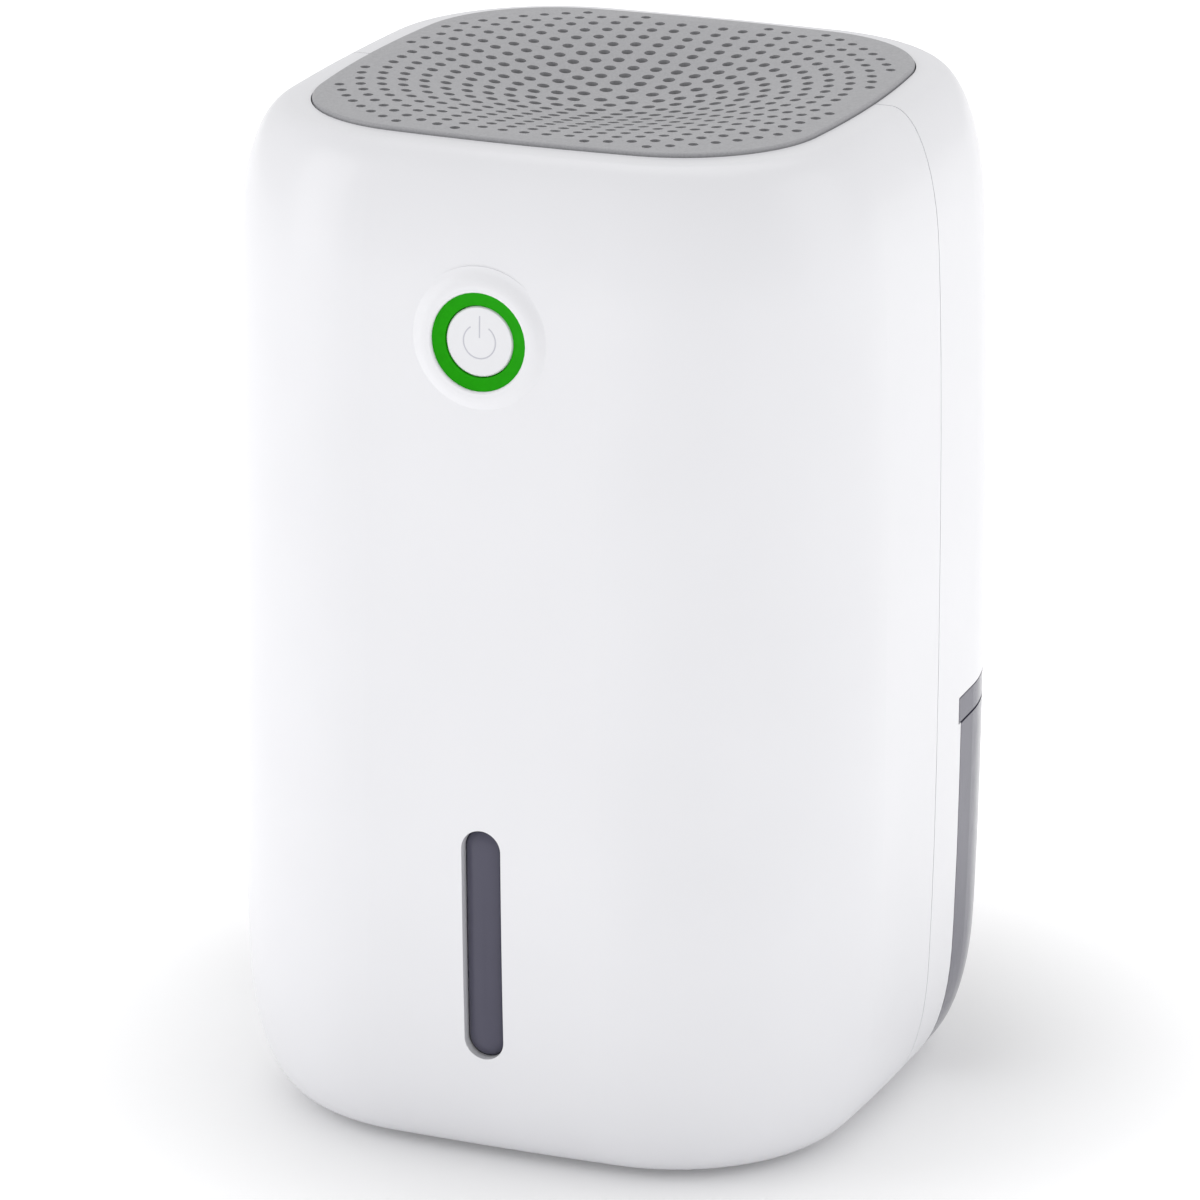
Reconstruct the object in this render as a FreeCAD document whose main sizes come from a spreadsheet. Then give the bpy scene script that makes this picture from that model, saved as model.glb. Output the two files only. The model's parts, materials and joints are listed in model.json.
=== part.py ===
"""Desk-top thermoelectric dehumidifier: casing, pull-out water tank, fan and cooling stack.

Frame: millimetres, +Z up, front faces -Y, origin at the middle of the footprint at floor level.
Every driving size is a cell of the sheet; primitives and features are bound to those cells.
"""
import FreeCAD, Part
import math
import os
import re
from types import SimpleNamespace

import Sketcher
from FreeCAD import Placement, Rotation, Vector

SIZES = {
    # casing skin: eight tangent arcs in plan, a barrelled side and rounded ends in profile
    "casing_width": 149.0,
    "casing_depth": 150.0,
    "casing_top": 225.0,
    "corner_radius": 48.8,
    "front_arc_radius": 712.0,
    "side_arc_radius": 592.0,
    "barrel_inset": 2.5,
    "top_round_inset": 10.6,
    "top_round_height": 33.0,
    "top_round_power": 2.2,
    "bottom_round_inset": 14.4,
    "bottom_round_height": 34.7,
    "bottom_round_power": 2.5,
    "foot_height": 1.5,
    "wall": 2.5,
    "rebate_depth": 1.2,
    "tongue_length": 2.0,
    "tongue_gap": 0.2,
    "seam_place": 3.0,
    "seam_gap": 0.3,
    "small_gap": 0.3,
    "fit_gap": 0.05,
    # top grille
    "grille_half_width": 58.0,
    "grille_half_depth": 57.8,
    "grille_place": 0.6,
    "grille_corner_radius": 31.0,
    "grille_front_arc": 377.0,
    "grille_side_arc": 286.0,
    "grille_proud": 0.9,
    "grille_edge": 0.6,
    "grille_rim_thickness": 3.15,
    "grille_thickness": 1.6,
    "bowl_radius": 60.0,
    "bowl_depth": 5.4,
    "bowl_overrun": 0.15,
    "first_ring_radius": 3.6,
    "hole_pitch": 4.57,
    "hole_rings": 14,
    "hole_radius_middle": 1.5,
    "hole_radius_edge": 1.05,
    "hole_margin": 4.0,
    "ledge_width": 3.0,
    "ledge_thickness": 2.3,
    # power button, light ring and the swell they sit in
    "button_height": 186.8,
    "button_radius": 7.5,
    "button_gap": 0.25,
    "ring_radius": 10.5,
    "ring_flange_radius": 12.5,
    "ring_flange_thickness": 1.3,
    "ring_length": 6.0,
    "swell_radius": 16.0,
    "swell_rise": 0.9,
    "swell_foot": 0.25,
    "swell_lip": 0.7,
    "ring_lip": 0.35,
    "ring_floor": 0.1,
    "ring_land": 0.5,
    "button_recess": 0.2,
    "button_edge": 0.3,
    "button_flange_radius": 9.0,
    "button_stem_radius": 2.5,
    "button_stem_end": 8.0,
    "icon_radius": 3.6,
    "icon_gap_angle": 34.0,
    "icon_line": 0.3,
    "icon_depth": 0.25,
    "icon_bar_low": 0.8,
    "icon_bar_high": 5.5,
    "board_place": 13.0,
    "board_width": 34.0,
    "board_height": 30.0,
    "board_thickness": 1.6,
    "board_post_x": 13.0,
    "board_post_z": 11.0,
    "small_screw_radius": 1.0,
    "small_screw_head_radius": 2.0,
    "small_screw_head_height": 1.2,
    "small_screw_length": 7.0,
    "switch_side": 6.0,
    "switch_length": 3.5,
    "switch_well": 2.1,
    "plunger_length": 2.15,
    "plunger_radius": 1.7,
    "led_radius": 1.5,
    "led_circle": 9.0,
    "led_length": 2.5,
    # level slot in the front
    "slot_half_width": 4.5,
    "slot_low": 27.0,
    "slot_high": 79.4,
    # tank, its lid, plug and float
    "tank_floor": 7.0,
    "tank_top": 89.0,
    "tank_front_edge": 19.5,
    "lip_height": 5.5,
    "lip_lead": 1.6,
    "groove_height": 0.6,
    "groove_depth": 0.5,
    "tank_gap": 0.3,
    "tank_wall": 2.0,
    "drawer_inset": 12.6,
    "boss_half_width": 6.3,
    "boss_low": 25.0,
    "boss_high": 81.4,
    "boss_wall": 1.6,
    "grip_half_width": 24.0,
    "grip_low": 56.0,
    "grip_high": 76.0,
    "grip_depth": 13.0,
    "lid_thickness": 2.0,
    "drip_hole_radius": 5.0,
    "funnel_radius": 12.0,
    "funnel_wall": 1.5,
    "drip_place": 37.0,
    "plug_place_x": 36.0,
    "plug_place_y": 40.0,
    "plug_radius": 6.0,
    "plug_head_radius": 8.5,
    "plug_depth": 5.0,
    "plug_taper": 0.7,
    "plug_head_height": 1.6,
    "plug_knob_radius": 3.0,
    "plug_knob_height": 1.2,
    "float_pin_radius": 1.5,
    "float_place": 30.0,
    "float_ear_gap": 14.0,
    "float_ear_width": 2.5,
    "float_ear_radius": 3.5,
    "float_pivot_y": -52.0,
    "float_pivot_z": 72.0,
    "float_arm": 16.0,
    "float_length": 20.0,
    "float_width": 18.0,
    "float_height": 10.0,
    "float_arm_width": 10.0,
    "float_arm_thickness": 3.0,
    "magnet_radius": 3.0,
    "magnet_depth": 3.0,
    "magnet_height": 2.8,
    # base, feet and the case screws
    "floor_opening_inset": 21.0,
    "base_flange_inset": 17.6,
    "base_flange_thickness": 2.3,
    "foot_radius": 7.0,
    "foot_stem_radius": 3.0,
    "foot_spread": 38.0,
    "foot_stem_length": 2.9,
    "screw_radius": 1.5,
    "screw_head_radius": 2.9,
    "screw_head_height": 1.8,
    "case_screw_x": 64.0,
    "case_screw_low": 110.0,
    "case_screw_high": 200.0,
    "case_screw_length": 20.0,
    "case_post_radius": 4.0,
    "post_rib": 3.0,
    "case_drive_radius": 1.2,
    "case_well_floor": 8.0,
    "case_well_radius": 3.2,
    "case_boss_length": 15.0,
    # deck, drip tray and cooling stack
    "deck_place": 99.0,
    "deck_thickness": 3.0,
    "deck_gap": 0.4,
    "spout_radius": 5.0,
    "tray_half_width": 33.0,
    "tray_front": 25.0,
    "tray_rear": 54.0,
    "tray_height": 9.0,
    "tray_wall": 1.5,
    "spout_drop": 5.0,
    "module_side": 40.0,
    "module_thickness": 3.8,
    "module_place": 20.2,
    "stack_height": 147.0,
    "gasket_side": 60.0,
    "cold_side": 60.0,
    "cold_base": 4.0,
    "cold_fin_depth": 18.0,
    "cold_fins": 9,
    "cold_fin_thickness": 1.2,
    "hot_width": 80.0,
    "hot_height": 64.0,
    "hot_base": 5.0,
    "hot_fin_depth": 27.0,
    "hot_fins": 14,
    "hot_fin_thickness": 1.2,
    "stack_screw_spread": 25.7,
    "stack_screw_length": 12.0,
    "air_slot_height": 5.5,
    "air_slot_length": 20.0,
    "air_slot_sill": 3.0,
    "partition_thickness": 2.5,
    "partition_half_width": 58.0,
    # fan and its duct
    "duct_place": 182.0,
    "duct_thickness": 2.5,
    "fan_side": 80.0,
    "fan_height": 20.0,
    "fan_bore_radius": 38.6,
    "blade_tip_radius": 37.6,
    "hub_radius": 17.0,
    "hub_wall": 1.8,
    "hub_height": 14.0,
    "blade_count": 7,
    "blade_thickness": 1.6,
    "stator_radius": 14.0,
    "stator_height": 10.8,
    "rotor_clearance": 0.7,
    "shaft_radius": 1.5,
    "fan_screw_spread": 35.75,
    "strut_width": 4.0,
    "strut_thickness": 2.5,
    # power board on the deck, inlet jack, filter and louvres
    "power_board_width": 62.0,
    "power_board_depth": 30.0,
    "power_board_front": -64.0,
    "standoff_height": 5.0,
    "standoff_radius": 3.0,
    "standoff_inset": 4.0,
    "capacitor_radius": 5.0,
    "capacitor_height": 16.0,
    "capacitor_pitch": 12.0,
    "coil_place": 23.0,
    "coil_radius": 7.0,
    "coil_wire_radius": 3.0,
    "jack_place_x": 22.0,
    "jack_place_z": 111.0,
    "jack_barrel_radius": 4.5,
    "jack_socket_radius": 2.8,
    "jack_pin_radius": 1.0,
    "jack_socket_depth": 9.5,
    "jack_pin_recess": 1.0,
    "jack_recess": 0.7,
    "jack_barrel_length": 1.8,
    "jack_nut_radius": 6.5,
    "jack_nut_width": 1.6,
    "jack_body_width": 11.0,
    "jack_body_height": 10.0,
    "jack_body_length": 12.0,
    "louvre_low": 122.0,
    "louvre_count": 11,
    "louvre_pitch": 5.0,
    "louvre_height": 2.4,
    "louvre_half_width": 30.0,
    "filter_thickness": 2.0,
    "filter_back_gap": 2.1,
    "filter_margin": 3.0,
    "sensor_radius": 3.0,
    "sensor_length": 12.0,
}

UP = Rotation()
BACK = Rotation(Vector(1, 0, 0), -90)
RIGHT = Rotation(Vector(0, 1, 0), 90)
ALONG = {"Z": UP, "Y": BACK, "X": RIGHT}

doc = FreeCAD.newDocument("Dehumidifier")
sheet = doc.addObject("Spreadsheet::Sheet", "Sizes")
for row, (alias, value) in enumerate(SIZES.items(), start=1):
    sheet.set("A%d" % row, alias)
    sheet.set("B%d" % row, str(value))
    sheet.setAlias("B%d" % row, alias)
doc.recompute()
size = SimpleNamespace(**{alias: float(sheet.get(alias)) for alias in SIZES})

subparts = {}


# ---------------------------------------------------------------- small makers

def formula(text):
    """An expression with every size name pointed at its cell."""
    def cell(word):
        name = word.group()
        return "Sizes." + name if name in SIZES else name

    return re.sub(r"[a-z][a-z_]+", cell, str(text))


def bind(thing, **expressions):
    for name, expression in expressions.items():
        thing.setExpression(name, formula(expression))
    return thing


def move(thing, x=0, y=0, z=0):
    """Bind an object's place to expressions, keeping its turn."""
    for axis, expression in zip("xyz", (x, y, z)):
        thing.setExpression(".Placement.Base." + axis, formula(expression))
    return thing


def box(name, x, y, z, length, width, height):
    """A box from its low corner."""
    solid = doc.addObject("Part::Box", name)
    bind(solid, Length=length, Width=width, Height=height)
    return move(solid, x, y, z)


def cylinder(name, x, y, z, radius, height, along="Z"):
    solid = doc.addObject("Part::Cylinder", name)
    solid.Placement = Placement(Vector(), ALONG[along])
    bind(solid, Radius=radius, Height=height)
    return move(solid, x, y, z)


def cone(name, x, y, z, radius_low, radius_high, height):
    solid = doc.addObject("Part::Cone", name)
    bind(solid, Radius1=radius_low, Radius2=radius_high, Height=height)
    return move(solid, x, y, z)


def given(name, shape):
    """A solid worked out with Part's own functions from the sheet's values."""
    thing = doc.addObject("Part::Feature", name)
    thing.Shape = shape
    return thing


def fuse(name, *things):
    joined = doc.addObject("Part::MultiFuse", name)
    joined.Shapes = list(things)
    return joined


def common(name, *things):
    shared = doc.addObject("Part::MultiCommon", name)
    shared.Shapes = list(things)
    return shared


def cut(name, base, *tools):
    tool = tools[0]
    if len(tools) > 1:
        tool = fuse(name + "_tools", *tools)
    result = doc.addObject("Part::Cut", name)
    result.Base = base
    result.Tool = tool
    return result


def subpart(node, thing):
    thing.Label = node
    subparts[node] = thing
    return thing


def profile(body, plane, corners):
    """A closed sketch whose corners are each held by a bound distance from the origin."""
    sketch = body.newObject("Sketcher::SketchObject", body.Name + "_sketch")
    origin_plane = [part for part in body.Origin.OriginFeatures if part.Role == plane][0]
    sketch.AttachmentSupport = [(origin_plane, "")]
    sketch.MapMode = "FlatFace"
    count = len(corners)
    start = [Vector(10 + 10 * math.cos(2 * math.pi * i / count), 10 * math.sin(2 * math.pi * i / count), 0)
             for i in range(count)]
    for i in range(count):
        sketch.addGeometry(Part.LineSegment(start[i], start[(i + 1) % count]), False)
    for i in range(count):
        sketch.addConstraint(Sketcher.Constraint("Coincident", i, 2, (i + 1) % count, 1))
    for i, (across, along) in enumerate(corners):
        for kind, expression, axis in (("DistanceX", across, -2), ("DistanceY", along, -1)):
            if expression == 0:
                sketch.addConstraint(Sketcher.Constraint("PointOnObject", i, 1, axis))
                continue
            index = sketch.addConstraint(Sketcher.Constraint(kind, -1, 1, i, 1, 1.0))
            sketch.renameConstraint(index, "%s%d" % (kind, i))
            sketch.setExpression("Constraints.%s%d" % (kind, i), formula(expression))
    return sketch


def turned(name, corners, plane="XZ_Plane"):
    """A turned piece: radius and height corners spun about the sketch's upright axis."""
    body = doc.addObject("PartDesign::Body", name)
    sketch = profile(body, plane, corners)
    spin = body.newObject("PartDesign::Revolution", name + "_turn")
    spin.Profile = sketch
    spin.ReferenceAxis = (sketch, ["V_Axis"])
    spin.Angle = 360.0
    return body


# ---------------------------------------------------------------- the casing's skin

def skin_inset(height):
    """How far the skin stands inside the casing's widest outline at a height."""
    middle = size.casing_top / 2
    inset = size.barrel_inset * ((height - middle) / middle) ** 2
    top = (height - size.casing_top + size.top_round_height) / size.top_round_height
    low = (size.foot_height + size.bottom_round_height - height) / size.bottom_round_height
    for reach, depth, power in ((top, size.top_round_inset, size.top_round_power),
                                (low, size.bottom_round_inset, size.bottom_round_power)):
        reach = min(max(reach, 0.0), 1.0)
        inset += depth * (1 - (1 - reach ** power) ** (1 / power))
    return inset


def skin_line(offset):
    """Inset and height pairs from floor to top of the skin moved inwards by an offset."""
    steps = 7
    quarter = [math.pi / 2 * i / steps for i in range(steps)]
    low = [size.foot_height + size.bottom_round_height * (1 - math.cos(a) ** (2 / size.bottom_round_power))
           for a in quarter]
    high = [size.casing_top - size.top_round_height * (1 - math.cos(a) ** (2 / size.top_round_power))
            for a in reversed(quarter)]
    start, end = size.foot_height + size.bottom_round_height, size.casing_top - size.top_round_height
    middle = [start + (end - start) * i / 3 for i in range(4)]
    line = []
    for height in low + middle + high:
        span = 0.01
        below = max(height - span, size.foot_height)
        above = min(height + span, size.casing_top)
        slope = (skin_inset(above) - skin_inset(below)) / (above - below)
        if height in (size.foot_height, size.casing_top):
            lean = math.copysign(1.0, slope)
            level = 0.0
        else:
            length = math.hypot(1.0, slope)
            lean = slope / length
            level = 1.0 / length
        line.append((skin_inset(height) + offset * level, height - offset * lean))
    return line


def outline(half_width, half_depth, corner, front_arc, side_arc, height):
    """A closed outline of eight tangent arcs: four slightly bowed sides and four corners."""
    front_centre = Vector(0, half_depth - front_arc, height)
    side_centre = Vector(half_width - side_arc, 0, height)
    front_reach = front_arc - corner
    side_reach = side_arc - corner
    between = side_centre - front_centre
    apart = between.Length
    ahead = (front_reach ** 2 - side_reach ** 2 + apart ** 2) / (2 * apart)
    aside = math.sqrt(front_reach ** 2 - ahead ** 2)
    along = between / apart
    corner_centre = front_centre + along * ahead + Vector(along.y, -along.x, 0) * aside
    from_front = (corner_centre - front_centre).normalize()
    from_side = (corner_centre - side_centre).normalize()
    front_end = front_centre + from_front * front_arc
    side_end = side_centre + from_side * side_arc
    bend = corner_centre + (from_front + from_side).normalize() * corner
    front_middle = Vector(0, half_depth, height)
    side_middle = Vector(half_width, 0, height)

    def flipped(point, x, y):
        return Vector(point.x * x, point.y * y, point.z)

    edges = []
    for x, y in ((1, 1), (-1, 1), (-1, -1), (1, -1)):
        corner_arc = [flipped(p, x, y) for p in (side_end, bend, front_end)]
        if x * y < 0:
            corner_arc.reverse()
        edges.append(Part.Arc(*corner_arc).toShape())
        if x * y > 0:
            flat_arc = [flipped(p, x, y) for p in (front_end, front_middle)] + [flipped(front_end, -x, y)]
        else:
            flat_arc = [flipped(p, x, y) for p in (side_end, side_middle)] + [flipped(side_end, x, -y)]
        edges.append(Part.Arc(*flat_arc).toShape())
    return Part.Wire(edges)


def casing_outline(inset, height):
    return outline(size.casing_width / 2 - inset, size.casing_depth / 2 - inset, size.corner_radius - inset,
                   size.front_arc_radius - inset, size.side_arc_radius - inset, height)


def casing_skin(name, offset):
    wires = [casing_outline(inset, height) for inset, height in skin_line(offset)]
    return given(name, Part.makeLoft(wires, True, False))


def casing_prism(name, inset, low, high):
    """An upright slab with the casing's outline moved inwards."""
    face = Part.Face(casing_outline(inset, low))
    return given(name, face.extrude(Vector(0, 0, high - low)))


def grille_line(growth, height):
    """The grille's outline, grown outwards, at one height."""
    wire = outline(size.grille_half_width + growth, size.grille_half_depth + growth,
                   size.grille_corner_radius + growth, size.grille_front_arc + growth,
                   size.grille_side_arc + growth, height)
    wire.translate(Vector(0, size.grille_place, 0))
    return wire


def grille_prism(name, growth, low, high):
    return given(name, Part.Face(grille_line(growth, low)).extrude(Vector(0, 0, high - low)))


def pill(half_width, low, high, front, depth):
    """An upright stadium prism along Y, for the level slot and the boss behind it."""
    top, bottom = high - half_width, low + half_width
    corners = [Vector(x, front, z) for x, z in ((half_width, bottom), (half_width, top),
                                                (-half_width, top), (-half_width, bottom))]
    edges = [Part.LineSegment(corners[0], corners[1]).toShape(),
             Part.Arc(corners[1], Vector(0, front, high), corners[2]).toShape(),
             Part.LineSegment(corners[2], corners[3]).toShape(),
             Part.Arc(corners[3], Vector(0, front, low), corners[0]).toShape()]
    return Part.Face(Part.Wire(edges)).extrude(Vector(0, depth, 0))


def lying_slot(half_width, height, low, front, depth):
    """A level stadium prism along Y, for one louvre."""
    radius = height / 2
    reach = half_width - radius
    middle = low + radius
    corners = [Vector(x, front, z) for x, z in ((-reach, low), (reach, low),
                                                (reach, low + height), (-reach, low + height))]
    edges = [Part.LineSegment(corners[0], corners[1]).toShape(),
             Part.Arc(corners[1], Vector(half_width, front, middle), corners[2]).toShape(),
             Part.LineSegment(corners[2], corners[3]).toShape(),
             Part.Arc(corners[3], Vector(-half_width, front, middle), corners[0]).toShape()]
    return Part.Face(Part.Wire(edges)).extrude(Vector(0, depth, 0))


FAR = 200.0
outer_skin = casing_skin("outer_skin", 0.0)
rebate_skin = casing_skin("rebate_skin", size.rebate_depth)
tongue_skin = casing_skin("tongue_skin", size.rebate_depth + size.small_gap / 2)
inner_skin = casing_skin("inner_skin", size.wall)

button_slope = (skin_inset(size.button_height + 1) - skin_inset(size.button_height - 1)) / 2
BUTTON_FRAME = Placement(
    Vector(0, skin_inset(size.button_height) - size.casing_depth / 2, size.button_height),
    Rotation(Vector(1, 0, 0), -math.degrees(math.atan(button_slope))))


def in_button_frame(thing):
    """Put a piece drawn about its own Y axis on the front, square to the skin at the button."""
    thing.Placement = BUTTON_FRAME
    return thing


# ---------------------------------------------------------------- casing shells

def wall_ledge(name, top):
    """A ledge round the inside of the casing, rooted in its wall."""
    low = top - size.ledge_thickness
    inside = skin_inset(top) + size.wall + size.ledge_width
    band = casing_prism(name + "_band", 0, low, top)
    hole = casing_prism(name + "_hole", inside, low - 1, top + 1)
    return cut(name, common(name + "_slab", rebate_skin, band), hole)


def grille_ledge():
    """The step in the top opening that the grille's rim rests on."""
    seat = size.casing_top - size.wall
    slab = grille_prism("grille_ledge_slab", size.ledge_width, seat - size.ledge_thickness, seat + size.wall / 2)
    hole = grille_prism("grille_ledge_hole", -size.ledge_width / 2, seat - FAR / 4, seat + FAR / 4)
    room = grille_prism("grille_seat", size.small_gap, seat, seat + FAR / 4)
    return cut("grille_ledge", slab, hole, room)


def make_casing():
    """One hollow skin with its ledges and openings, then its front and rear halves."""
    shell = cut("shell_wall", outer_skin, inner_skin)
    seat = size.casing_top - size.wall
    top_opening = grille_prism("top_opening", size.small_gap, seat - 1, seat + 10)
    floor_opening = casing_prism("floor_opening", size.floor_opening_inset, -1, size.foot_height + size.wall + 1)
    open_shell = cut("shell_open", shell, top_opening, floor_opening)
    ledges = fuse("wall_ledges", wall_ledge("deck_ledge", size.deck_place - size.fit_gap),
                  wall_ledge("duct_ledge", size.duct_place - size.fit_gap))
    control_room = box("control_room", "-board_width / 2 - 2", "-casing_depth / 2",
                       "button_height - board_height / 2 - 1", "board_width + 4", 25, "board_height + 2")
    hollow = fuse("shell_ledged", open_shell, cut("cleared_ledges", ledges, control_room), grille_ledge())
    make_front_shell(hollow)
    make_rear_shell(hollow)


def screw_places():
    return [(x, z) for x in ("-case_screw_x", "case_screw_x") for z in ("case_screw_low", "case_screw_high")]


def screw_post(name, x, y, z, length):
    """A post for a case screw with a rib to the side wall, trimmed to the wall."""
    post = cylinder(name + "_post", x, y, z, "case_post_radius", length, "Y")
    rib_x = "-casing_width / 2" if x.startswith("-") else x
    rib = box(name + "_rib", rib_x, y, z + " - post_rib / 2", "casing_width / 2 - case_screw_x", length, "post_rib")
    return common(name, fuse(name + "_body", post, rib), rebate_skin)


def make_front_shell(hollow):
    behind_seam = box("front_trim", -FAR / 2, "seam_place - seam_gap / 2", -5, FAR, FAR, "casing_top + 50")
    tongue_band = box("tongue_band", -FAR / 2, "seam_place - tongue_length", -5, FAR, FAR, "casing_top + 50")
    front = cut("front_half", hollow, behind_seam, common("tongue_room", rebate_skin, tongue_band))
    posts = []
    for index, (x, z) in enumerate(screw_places()):
        boss = screw_post("front_boss%d" % index, x, "seam_place - tongue_length - fit_gap - case_boss_length", z,
                          "case_boss_length")
        hole = cylinder("front_boss_hole%d" % index, x, "case_well_floor - case_screw_length - 1", z,
                        "screw_radius + fit_gap", "case_screw_length", "Y")
        posts.append(cut("front_boss_drilled%d" % index, boss, hole))
    for index, (x, z) in enumerate(board_places()):
        post = Part.makeCylinder(size.screw_head_radius, size.board_place - size.fit_gap - size.wall / 2,
                                 Vector(x, size.wall / 2, z), Vector(0, 1, 0))
        pilot = Part.makeCylinder(size.small_screw_radius + size.fit_gap, size.board_place,
                                  Vector(x, size.wall + 1, z), Vector(0, 1, 0))
        posts.append(in_button_frame(given("board_post%d" % index, post.cut(pilot))))
    swell = in_button_frame(given("button_swell", swell_ring()))
    aperture = in_button_frame(given("button_aperture", Part.makeCylinder(
        size.ring_radius + size.fit_gap, 30, Vector(0, -15, 0), Vector(0, 1, 0))))
    slot = given("level_slot", pill(size.slot_half_width, size.slot_low, size.slot_high,
                                    -size.casing_depth / 2 - 5, 12))
    cleared = cut("front_apertures", front, aperture, slot)
    subpart("front_shell", fuse("front_shell_solid", cleared, swell, *posts))


def board_places():
    across, up = size.board_post_x, size.board_post_z
    return [(-across, -up), (-across, up), (across, -up), (across, up)]


def swell_ring():
    """The soft ring that rises round the light ring and blends into the front, about the Y axis."""
    bore, back = size.ring_radius + size.fit_gap, size.wall - 0.1
    rise, lip = -size.swell_rise, -size.swell_rise + size.swell_lip * 0.6
    inner_crest = Vector(bore + size.swell_lip, rise, 0)
    outer_crest = Vector(bore + 2 * size.swell_lip, rise, 0)
    foot = Vector(size.swell_radius, size.swell_foot, 0)
    low_lip = Vector(bore, lip, 0)
    lip_bend = Vector(bore + size.swell_lip * 0.25, rise + size.swell_lip * 0.15, 0)
    blend = Part.BSplineCurve()
    blend.interpolate(Points=[outer_crest, foot], InitialTangent=Vector(1, 0, 0), FinalTangent=Vector(1, 0, 0))
    back_outer, back_inner = Vector(size.swell_radius, back, 0), Vector(bore, back, 0)
    edges = [Part.LineSegment(back_inner, low_lip).toShape(),
             Part.Arc(low_lip, lip_bend, inner_crest).toShape(),
             Part.LineSegment(inner_crest, outer_crest).toShape(),
             blend.toShape(),
             Part.LineSegment(foot, back_outer).toShape(),
             Part.LineSegment(back_outer, back_inner).toShape()]
    return Part.Face(Part.Wire(edges)).revolve(Vector(), Vector(0, 1, 0), 360)


def make_rear_shell(hollow):
    ahead = box("rear_trim", -FAR / 2, "seam_place - tongue_length + tongue_gap - 200", -5, FAR, 200,
                "casing_top + 50")
    outer_band = box("rear_skin_trim", -FAR / 2, "seam_place + seam_gap / 2 - 50", -5, FAR, 50, "casing_top + 50")
    rear = cut("rear_half", hollow, ahead, cut("rear_skin_band", outer_band, tongue_skin))
    post_start = "seam_place - tongue_length + tongue_gap"
    posts = [screw_post("rear_post%d" % index, x, post_start, z, "casing_depth / 2")
             for index, (x, z) in enumerate(screw_places())]
    tools = [louvre_cutters(), jack_hole()] + tank_doorway()
    for index, (x, z) in enumerate(screw_places()):
        tools.append(cylinder("well%d" % index, x, "case_well_floor", z, "case_well_radius", FAR, "Y"))
        tools.append(cylinder("well_hole%d" % index, x, -5, z, "screw_radius + small_gap", 20, "Y"))
    subpart("rear_shell", cut("rear_shell_solid", fuse("rear_body", rear, *posts), *tools))


def louvre_cutters():
    slots = []
    for index in range(int(size.louvre_count)):
        low = size.louvre_low + index * size.louvre_pitch
        slots.append(lying_slot(size.louvre_half_width, size.louvre_height, low, size.casing_depth / 2 - 6, 12))
    return given("intake_louvres", Part.makeCompound(slots))


def jack_hole():
    return cylinder("jack_hole", "jack_place_x", "casing_depth / 2 - 12", "jack_place_z",
                    "jack_barrel_radius + 0.15", 24, "Y")


def tank_doorway():
    """The room the tank's outer part and its lip take out of the rear shell."""
    door = box("tank_door", -FAR / 2, "tank_front_edge - tank_gap", "tank_floor - tank_gap", FAR, FAR,
               "tank_top - lip_height - tank_floor + tank_gap")
    lip = box("tank_lip_room", -FAR / 2, "tank_front_edge - lip_lead - tank_gap", "tank_top - lip_height - tank_gap",
              FAR, FAR, "lip_height + 2 * tank_gap")
    return [door, lip]


def make_base():
    flange_low = size.foot_height + size.wall + 2 * size.fit_gap
    flange = casing_prism("base_flange", size.base_flange_inset, flange_low, flange_low + size.base_flange_thickness)
    plug = casing_prism("base_plug", size.floor_opening_inset + size.small_gap, size.foot_height, flange_low + 0.5)
    holes = [cylinder("foot_hole%d" % index, x, y, "foot_height - 1", "foot_stem_radius + fit_gap",
                      "foot_stem_length + 1")
             for index, (x, y) in enumerate(foot_places())]
    subpart("base_plate", cut("base_plate_solid", fuse("base_plate_blank", flange, plug), *holes))
    pads = []
    for index, (x, y) in enumerate(foot_places()):
        pads.append(cone("foot_pad%d" % index, x, y, 0, "foot_radius - 0.4", "foot_radius", "foot_height"))
        pads.append(cylinder("foot_stem%d" % index, x, y, "foot_height - 0.1", "foot_stem_radius",
                             "foot_stem_length"))
    subpart("rubber_feet", fuse("rubber_feet_solid", *pads))


def foot_places():
    return [(x, y) for x in ("-foot_spread", "foot_spread") for y in ("-foot_spread", "foot_spread")]


def make_case_screws():
    pieces = []
    for index, (x, z) in enumerate(screw_places()):
        pieces.append(cylinder("case_screw%d" % index, x, "case_well_floor - case_screw_length", z,
                               "screw_radius", "case_screw_length + 0.5", "Y"))
        pieces.append(cut("case_screw_head%d" % index,
                          cylinder("case_head%d" % index, x, "case_well_floor + fit_gap", z, "screw_head_radius",
                                   "screw_head_height", "Y"),
                          cylinder("case_drive%d" % index, x, "case_well_floor + 1", z, "case_drive_radius", 5,
                                   "Y")))
    subpart("case_screws", fuse("case_screws_solid", *pieces))


# ---------------------------------------------------------------- top grille

def bowl_height(radius):
    """The dish that is scooped out of the grille: it levels out as it runs up through the flat rim."""
    end = size.casing_top + size.grille_proud + size.bowl_overrun
    rise = size.bowl_depth + size.bowl_overrun
    return end - rise * (1 + math.cos(math.pi * radius / size.bowl_radius)) / 2


def hole_places():
    """Rings of four, ten, sixteen holes and so on, kept inside the rim."""
    field = Part.Face(grille_line(-size.hole_margin, 0))
    places = []
    for ring in range(1, int(size.hole_rings) + 1):
        reach = ring * size.hole_pitch if ring > 1 else size.first_ring_radius
        shrink = (size.hole_radius_middle - size.hole_radius_edge) * ring / size.hole_rings
        count = 6 * ring - 2
        for step in range(count):
            angle = 2 * math.pi * step / count - math.pi / 2
            x, y = reach * math.cos(angle), size.grille_place + reach * math.sin(angle)
            if field.isInside(Vector(x, y, 0), 0.001, True):
                places.append((x, y, size.hole_radius_middle - shrink))
    return places


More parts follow.
